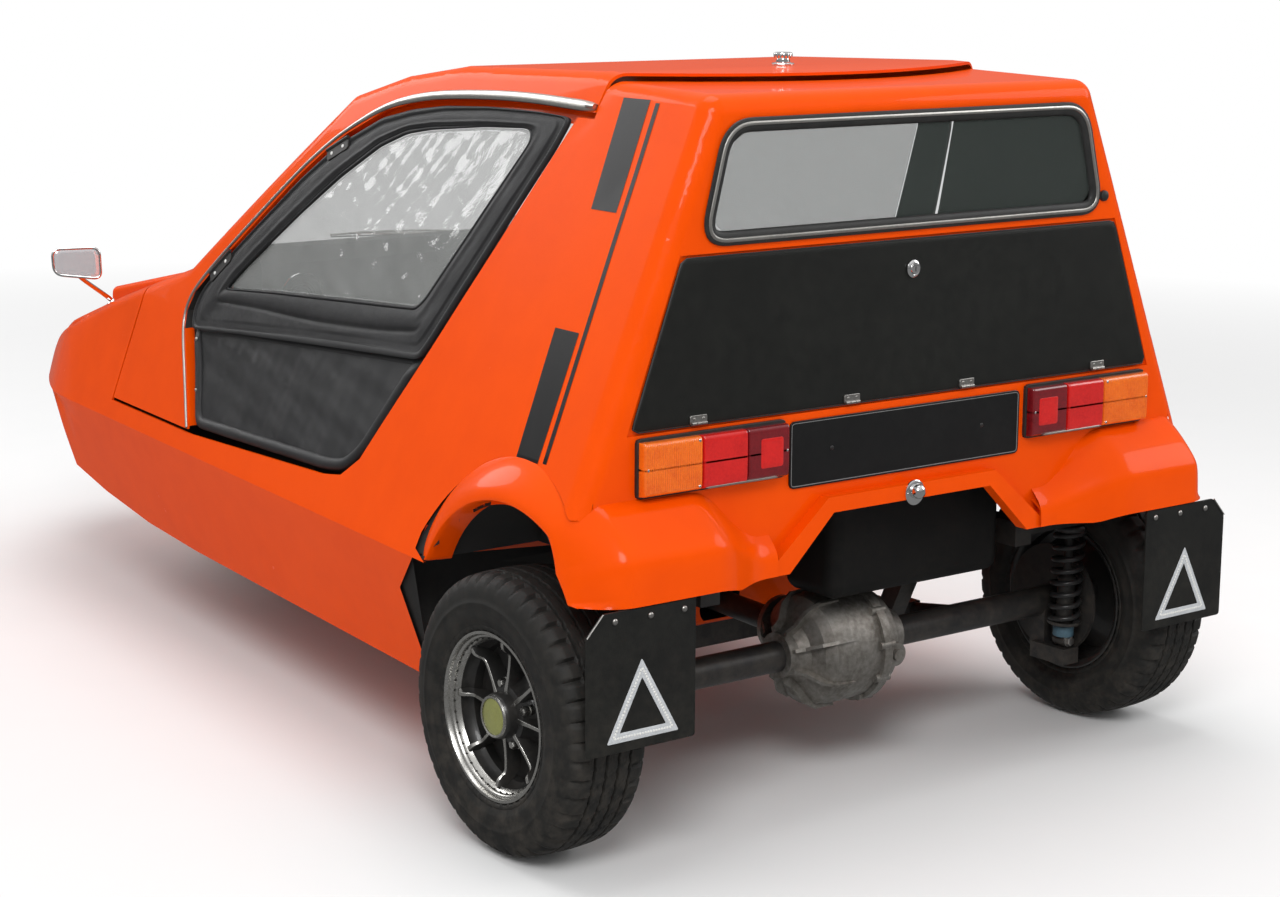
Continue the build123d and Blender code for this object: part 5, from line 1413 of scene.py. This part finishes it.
bezel = sweepLoop(lampLoop, [(0.0, -0.030), (0.0, -0.001), (0.0010, 0.0008), (0.0034, 0.0008),
                             (0.0050, -0.0010), (0.0056, -0.0040), (0.0056, -0.030)], onLamp)
lampFace = loopStack(lampLoop, [(0.0056, -0.0120), (0.0056, -0.0040), (0.0066, -0.0026), (0.0085, -0.0020)],
                     onLamp, fill=20, base=True, bump=lensWave)
bowl = loopStack(lampLoop, [(0.0060, -0.0150), (0.0070, -0.0300), (0.0100, -0.0480), (0.0140, -0.0600)],
                 onLamp, fill=4)
putPair("lampBezel_{}", bezel, "chrome", "body", "chrome", "headlamp_{}")
putPair("lampFace_{}", lampFace, "lensClear", "body", "lamp_clear")
putPair("lampBowl_{}", bowl, "satinSteel", "body", "satin_steel")
print("stage: springs, mirrors, knob, windscreen trim, wiper and headlamps")

# Seats: vinyl cushions blown up by cloth simulation, with sewn channels and piping

seatSpec = {"x": (0.070, 0.480), "inset": 0.013, "round": 0.028, "voxel": 0.0060, "pressure": 4.0,
            "frames": 20, "cap": 0.024, "channels": 6, "channelDepth": 0.0045, "channelWidth": 0.0050,
            "piping": 0.0036}
baseOutline = [(0.152, 0.3335), (0.588, 0.3335), (0.588, 0.4290), (0.152, 0.4290)]
backOutline = [(0.6075, 0.3335), (0.7030, 0.3335), (0.7550, 0.7900), (0.7300, 0.8195), (0.6900, 0.8235),
               (0.6625, 0.8000)]


def cushionBlank(outline, corner, name):
    # The cushion's side view, drawn in by the inset, carried across and rounded at the ends
    loop = roundedLoop(outline, corner, 72)
    normals = inwardNormals(loop)
    x0, x1 = seatSpec["x"]
    inset, bend = seatSpec["inset"], seatSpec["round"]
    rows = [(x0 + inset + bend * (1 - math.cos(k)), inset + bend * (1 - math.sin(k)))
            for k in np.linspace(0, math.pi / 2, 6)[:-1]]
    rows += [(x, inset) for x in np.linspace(x0 + inset + bend, x1 - inset - bend, 9)]
    rows += [(x0 + x1 - x, drawn) for x, drawn in rows[4::-1]]
    layers = []
    for x, drawn in rows:
        flat = loop + normals * drawn
        layers.append(np.stack([np.full(len(flat), x), flat[:, 0], flat[:, 1]], axis=1))
    pts, quads, tris = grid(np.array(layers), closeCols=True, capStart=True, capEnd=True)
    mesh = bpy.data.meshes.new(name)
    mesh.from_pydata(pts.tolist(), [], quads.tolist() + tris.tolist())
    obj = newObject(name, mesh)
    bm = bmesh.new()
    bm.from_mesh(mesh)
    bmesh.ops.recalc_face_normals(bm, faces=bm.faces)
    bm.to_mesh(mesh)
    bm.free()
    return obj


def settled(obj):
    # The mesh with its modifiers applied, as a plain mesh
    graph = bpy.context.evaluated_depsgraph_get()
    mesh = bpy.data.meshes.new_from_object(obj.evaluated_get(graph))
    obj.modifiers.clear()
    obj.data = mesh
    return obj


def pointsOf(mesh):
    flat = np.empty(len(mesh.vertices) * 3, np.float32)
    mesh.vertices.foreach_get("co", flat)
    return flat.reshape(-1, 3).astype(float)


def setPoints(mesh, pts):
    mesh.vertices.foreach_set("co", pts.astype(np.float32).ravel())
    mesh.update()


def blowUp(obj):
    # Voxel remesh, then cloth with pressure and no gravity; no point moves more than the cap
    spec = seatSpec
    addModifier(obj, "REMESH", mode="VOXEL", voxel_size=spec["voxel"])
    settled(obj)
    before = pointsOf(obj.data)
    cloth = obj.modifiers.new("cloth", "CLOTH")
    cloth.settings.quality = 4
    cloth.settings.tension_stiffness = 16.0
    cloth.settings.compression_stiffness = 16.0
    cloth.settings.bending_stiffness = 1.0
    cloth.settings.use_pressure = True
    cloth.settings.uniform_pressure_force = spec["pressure"]
    cloth.settings.effector_weights.gravity = 0.0
    cloth.collision_settings.use_collision = False
    cloth.point_cache.frame_start = 1
    cloth.point_cache.frame_end = spec["frames"]
    for step in range(1, spec["frames"] + 1):
        bpy.context.scene.frame_set(step)
    settled(obj)
    shift = pointsOf(obj.data) - before
    far = np.linalg.norm(shift, axis=1, keepdims=True)
    shift *= np.minimum(1.0, spec["cap"] / np.maximum(far, 1e-9))
    setPoints(obj.data, before + shift)
    bpy.context.scene.frame_set(1)
    return obj


def sewn(obj, box, face, along):
    # Kept inside its box, flat where it rests, and drawn in along the channels on its face
    spec = seatSpec
    addModifier(obj, "SUBSURF", levels=1, render_levels=1)
    settled(obj)
    pts = pointsOf(obj.data)
    low, high = box
    soft = 0.004
    for axis in range(3):
        past = pts[:, axis] - high[axis] + soft
        pts[:, axis] = np.where(past > 0, high[axis] - soft * np.exp(-past / soft), pts[:, axis])
        pts[:, axis] = np.maximum(pts[:, axis], low[axis])
    # Channel depth falls off as exp(-(d / width)^2) from each seam, and towards the edges of the face
    x0, x1 = spec["x"]
    start, end = along["from"], along["to"]
    seams = np.linspace(x0 + 0.055, x1 - 0.055, spec["channels"])
    near = np.min(np.abs(pts[:, :1] - seams[None, :]), axis=1)
    position = pts @ np.array(along["line"])
    ends = np.clip((position - start) / 0.02, 0, 1) * np.clip((end - position) / 0.02, 0, 1)
    normals = np.empty(len(pts) * 3, np.float32)
    obj.data.vertices.foreach_get("normal", normals)
    facing = np.clip((normals.reshape(-1, 3) @ np.array(face) - 0.45) / 0.3, 0, 1)
    cut = spec["channelDepth"] * np.exp(-(near / spec["channelWidth"]) ** 2) * facing * ends
    cross = np.exp(-((position - start) / 0.006) ** 2) + np.exp(-((position - end) / 0.006) ** 2)
    inside = np.clip((pts[:, 0] - x0 - 0.045) / 0.01, 0, 1) * np.clip((x1 - 0.045 - pts[:, 0]) / 0.01, 0, 1)
    cut = np.maximum(cut, spec["channelDepth"] * cross * facing * inside)
    setPoints(obj.data, pts - np.array(face) * cut[:, None])
    obj.data.shade_smooth()
    return obj


def seatPiece(name, outline, corner, box, face, along):
    obj = sewn(blowUp(cushionBlank(outline, corner, name)), box, face, along)
    obj.data.materials.clear()
    obj.data.materials.append(finish["seatVinyl"])
    return obj


def sideSeam(obj, offset):
    # The cushion's silhouette seen along X, as a loop for the piping near each end
    pts = pointsOf(obj.data)
    middle = (pts[:, 1:].min(axis=0) + pts[:, 1:].max(axis=0)) / 2
    slab = pts[np.abs(pts[:, 0] - offset) < 0.006]
    angle = np.arctan2(slab[:, 2] - middle[1], slab[:, 1] - middle[0])
    bins = np.linspace(-math.pi, math.pi, 121)
    loop = []
    for a0, a1 in zip(bins[:-1], bins[1:]):
        chosen = slab[(angle >= a0) & (angle < a1)]
        if len(chosen):
            reach = np.hypot(chosen[:, 1] - middle[0], chosen[:, 2] - middle[1])
            best = chosen[reach.argmax()]
            loop.append((offset, best[1], best[2]))
    loop = evenly(np.array(loop), 200, True)
    for _ in range(3):
        loop = (np.roll(loop, 1, axis=0) + loop * 2 + np.roll(loop, -1, axis=0)) / 4
    return loop


lean = np.array([0, 0.052, 0.457]) / np.hypot(0.052, 0.457)
forward = np.array([0, -0.457, 0.052]) / np.hypot(0.052, 0.457)
baseSeat = seatPiece("seatBase_left", baseOutline, 0.040, ((0.071, 0.151, 0.3306), (0.479, 0.589, 0.4302)),
                     (0, 0, 1), {"line": (0, 1, 0), "from": 0.205, "to": 0.545})
backSeat = seatPiece("seatBack_left", backOutline, 0.030, ((0.071, 0.6065, 0.3306), (0.479, 0.7555, 0.8238)),
                     forward, {"line": lean, "from": 0.50, "to": 0.82})
for seat, part, node in ((baseSeat, "seatBase", "seat_base_"), (backSeat, "seatBack", "seat_back_")):
    twin = newObject(part + "_right", seat.data.copy())
    setPoints(twin.data, pointsOf(twin.data) * (-1, 1, 1))
    twin.data.flip_normals()
    piping = [tube(sideSeam(seat, x), seatSpec["piping"], 10, closed=True)
              for x in (seatSpec["x"][0] + 0.020, seatSpec["x"][1] - 0.020)]
    for obj, hand in ((seat, "left"), (twin, "right")):
        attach(obj, "body")
        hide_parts(node + hand)
    putPair(part + "Piping_{}", piping, "threadBlack", "body", "seat_vinyl")
print("stage: seats", len(baseSeat.data.polygons), len(backSeat.data.polygons))

# Dashboard: dials for the driver on the right, and a speaker at the left end
dashSpec = {"face": -0.1300, "dials": [(-0.335, 0.735, 0.040), (-0.170, 0.735, 0.040)],
            "speaker": (0.335, 0.730, 0.052), "needleAt": 200}
rings, faces, marks, hands = [], [], [], []
for x, z, r in dashSpec["dials"]:
    middle = np.array([x, dashSpec["face"], z])
    rings.append(turned([(0.0002, r), (0.0040, r), (0.0062, r - 0.0016), (0.0062, r - 0.0040),
                         (0.0036, r - 0.0058), (0.0008, r - 0.0060)], middle, backwards, 64, close=True))
    faces.append(turned([(0.0004, r - 0.0052), (0.0014, r - 0.0052), (0.0015, 0.002)], middle, backwards, 48))
    for k in range(21):
        q = math.radians(225 - 13.5 * k)
        tick = [(reach * math.cos(q), 0.0018, reach * math.sin(q))
                for reach in (r - (0.0125 if k % 5 == 0 else 0.0095), r - 0.0070)]
        marks.append(tube(np.array(tick) + middle, 0.0005 if k % 5 else 0.0009, 6))
    q = math.radians(dashSpec["needleAt"])
    needle = [(reach * math.cos(q), 0.0026, reach * math.sin(q)) for reach in (-0.008, r - 0.011)]
    hands.append(tube(np.array(needle) + middle, np.array([0.0011, 0.0005]), 8))
    hands.append(turned([(0.0014, 0.0042), (0.0036, 0.0038), (0.0040, 0.0010)], middle, backwards, 24))
x, z, r = dashSpec["speaker"]
middle = np.array([x, dashSpec["face"], z])
rings.append(turned([(0.0002, r), (0.0040, r), (0.0070, r - 0.0020), (0.0070, r - 0.0060),
                     (0.0030, r - 0.0085), (0.0006, r - 0.0085)], middle, backwards, 64, close=True))
grille = [turned([(0.0004, r - 0.008), (0.0010, r - 0.008), (0.0011, 0.002)], middle, backwards, 48)]
a = np.linspace(0, 2 * np.pi, 48, endpoint=False)
for k in range(1, 7):
    ringR = 0.0068 * k - 0.002
    loop = np.stack([ringR * np.cos(a), np.full(48, 0.0034 - 0.0001 * k * k), ringR * np.sin(a)], axis=1)
    grille.append(tube(loop + middle, 0.0012, 6, closed=True))
putPiece("dialRings", rings, "chrome", "body", "chrome")
putPiece("dialFaces", faces + grille, "lensGap", "body", "black_moulding")
putPiece("dialMarks", marks + hands, "dialWhite", "body", "lamp_clear")

# Steering wheel: a moulded rim with finger bumps, three dished spokes and a hub
wheelCentre = np.array([-0.250, 0.060, 0.745])
wheelAxis = np.array([0, math.cos(math.radians(20)), math.sin(math.radians(20))])
wheelRight = np.array([1.0, 0, 0])
wheelUp = np.cross(wheelRight, wheelAxis)


def onWheel(u, v, lift):
    return wheelCentre + u[..., None] * wheelRight + v[..., None] * wheelUp + lift[..., None] * wheelAxis


a = np.linspace(0, 2 * np.pi, 240, endpoint=False)
rimTube = tube(onWheel(0.158 * np.cos(a), 0.158 * np.sin(a), 0 * a), 0.0112 + 0.0007 * np.cos(a * 36), 16,
               closed=True)
spokes = []
k = np.linspace(0, 1, 16)[:, None]
ring = np.linspace(0, 2 * np.pi, 16, endpoint=False)
for angle in (0, 180, 270):
    c, s = math.cos(math.radians(angle)), math.sin(math.radians(angle))
    u = 0.020 + 0.132 * k + 0 * ring
    v = (0.0108 - 0.0030 * np.sin(k * math.pi)) * np.sign(np.cos(ring)) * np.abs(np.cos(ring)) ** 0.5
    w = 0.0020 * (np.sign(np.sin(ring)) * np.abs(np.sin(ring)) ** 0.6 - np.cos(k * math.pi))
    spokes.append(grid(onWheel(u * c - v * s, u * s + v * c, w), closeCols=True, capStart=True, capEnd=True))
hub = turned([(-0.0145, 0.0200), (-0.0140, 0.0236), (-0.0040, 0.0238), (-0.0030, 0.0340), (0.0030, 0.0345),
              (0.0046, 0.0325), (0.0052, 0.0262)], wheelCentre, wheelAxis, 56)
horn = turned([(0.0040, 0.0255), (0.0080, 0.0252), (0.0110, 0.0225), (0.0128, 0.0140), (0.0133, 0.0030)],
              wheelCentre, wheelAxis, 48)
putPiece("steeringRim", [rimTube, hub, horn], "blackMoulding", "steering_wheel", "black_moulding",
         ("steering_wheel",))
putPiece("steeringSpokes", spokes, "satinSteel", "steering_wheel", "satin_steel")
print("stage: dashboard and steering wheel")

# Camera at the photograph's place, worked out from the number plate, wheels and length
cameraSpec = {"place": (2.8617, 4.356, 1.4446), "azimuth": 142.905, "elevation": 11.363, "roll": 0.299,
              "lens": 71.102, "sensor": 36.0}


def addCamera(spec):
    a, e, roll = (math.radians(spec[k]) for k in ("azimuth", "elevation", "roll"))
    back = Vector((math.sin(a) * math.cos(e), -math.cos(a) * math.cos(e), math.sin(e)))
    right = Vector((math.cos(a), math.sin(a), 0))
    up = back.cross(right)
    turnedRight = right * math.cos(roll) + up * math.sin(roll)
    turnedUp = up * math.cos(roll) - right * math.sin(roll)
    data = bpy.data.cameras.new("camera")
    data.lens = spec["lens"]
    data.sensor_width = spec["sensor"]
    data.clip_start = 0.05
    data.clip_end = 200.0
    camera = newObject("camera", data)
    matrix = Matrix((turnedRight, turnedUp, back)).transposed().to_4x4()
    matrix.translation = Vector(spec["place"])
    camera.matrix_world = matrix
    bpy.context.scene.camera = camera


# Soft studio light, a pale floor and a white background
studio = {"worldStrength": 0.60, "skyLow": 0.16, "skyHigh": 0.95, "floorColour": 0.78, "floorShine": 0.22,
          "floorSize": 60.0, "paperNear": 2.6, "paperFar": 6.5, "target": (0, 0.3, 0.5),
          "lamps": [("keyLamp", (3.2, 4.6, 4.2), 2.4, 165.0), ("fillLamp", (-4.4, 3.2, 3.0), 3.0, 70.0),
                    ("noseLamp", (1.8, -5.2, 3.6), 3.0, 100.0), ("topLamp", (0.0, 0.2, 5.2), 3.6, 120.0)]}


def addStudio(spec):
    world = bpy.data.worlds.new("studio")
    bpy.context.scene.world = world
    world.use_nodes = True
    tree = world.node_tree
    tree.nodes.clear()
    rays = addNode(tree, "LightPath", {}).outputs
    seen = mathNode(tree, "MAXIMUM", rays["Is Camera Ray"], rays["Is Transmission Ray"])
    plain = {"Color": (1.0, 1.0, 1.0, 1.0)}
    soft = addNode(tree, "Background", {**plain, "Strength": spec["worldStrength"]}).outputs[0]
    white = addNode(tree, "Background", {**plain, "Strength": 1.0}).outputs[0]
    # Reflections see a sky that is white above and falls to pale grey at the horizon
    split = addNode(tree, "SeparateXYZ", {0: addNode(tree, "TexCoord", {}).outputs["Generated"]})
    level = rangeNode(tree, split.outputs["Z"], 0.0, 0.70, spec["skyLow"], spec["skyHigh"])
    sky = addNode(tree, "Background", {"Strength": level}).outputs[0]
    reflected = mixShader(tree, rays["Is Glossy Ray"], soft, sky)
    addNode(tree, "OutputWorld", {0: mixShader(tree, seen, reflected, white)})
    for name, place, size, power in spec["lamps"]:
        data = bpy.data.lights.new(name, "AREA")
        data.shape = "DISK"
        data.size = size
        data.energy = power
        lamp = newObject(name, data)
        lamp.location = place
        towards = Vector(spec["target"]) - Vector(place)
        lamp.rotation_euler = towards.to_track_quat("-Z", "Y").to_euler()
    half = spec["floorSize"] / 2
    mesh = bpy.data.meshes.new("floor")
    mesh.from_pydata([(-half, -half, 0), (half, -half, 0), (half, half, 0), (-half, half, 0)], [],
                     [(0, 1, 2, 3)])
    floor = newObject("floor", mesh)
    floor.location.z = -0.001
    shade = spec["floorColour"]
    paper = makeMaterial("floorPaper", (shade,) * 3, (shade * 0.985,) * 3, 0.6, 0.85, 0.05, specular=0.1)
    mesh.materials.append(paper)
    # The paper fades into the white background far from the car, and looks darker in the paint's reflections
    tree = paper.node_tree
    rays = addNode(tree, "LightPath", {}).outputs
    place = addNode(tree, "TexCoord", {}).outputs["Object"]
    far = addNode(tree, "VectorMath", {0: place}, operation="LENGTH").outputs["Value"]
    fade = rangeNode(tree, far, spec["paperNear"], spec["paperFar"])
    seen = mathNode(tree, "MAXIMUM", rays["Is Camera Ray"], rays["Is Transmission Ray"])
    white = addNode(tree, "Emission", {"Strength": 1.0}).outputs[0]
    dark = addNode(tree, "Emission", {"Color": (spec["floorShine"],) * 3 + (1,)}).outputs[0]
    plainPaper = tree.nodes["Principled BSDF"].outputs[0]
    faded = mixShader(tree, mathNode(tree, "MULTIPLY", fade, seen), plainPaper, white)
    output = next(n for n in tree.nodes if n.type == "OUTPUT_MATERIAL")
    tree.links.new(mixShader(tree, rays["Is Glossy Ray"], faded, dark), output.inputs["Surface"])


bpy.context.scene.view_settings.view_transform = "Standard"
addCamera(cameraSpec)
addStudio(studio)
print("stage: camera, light and floor made")
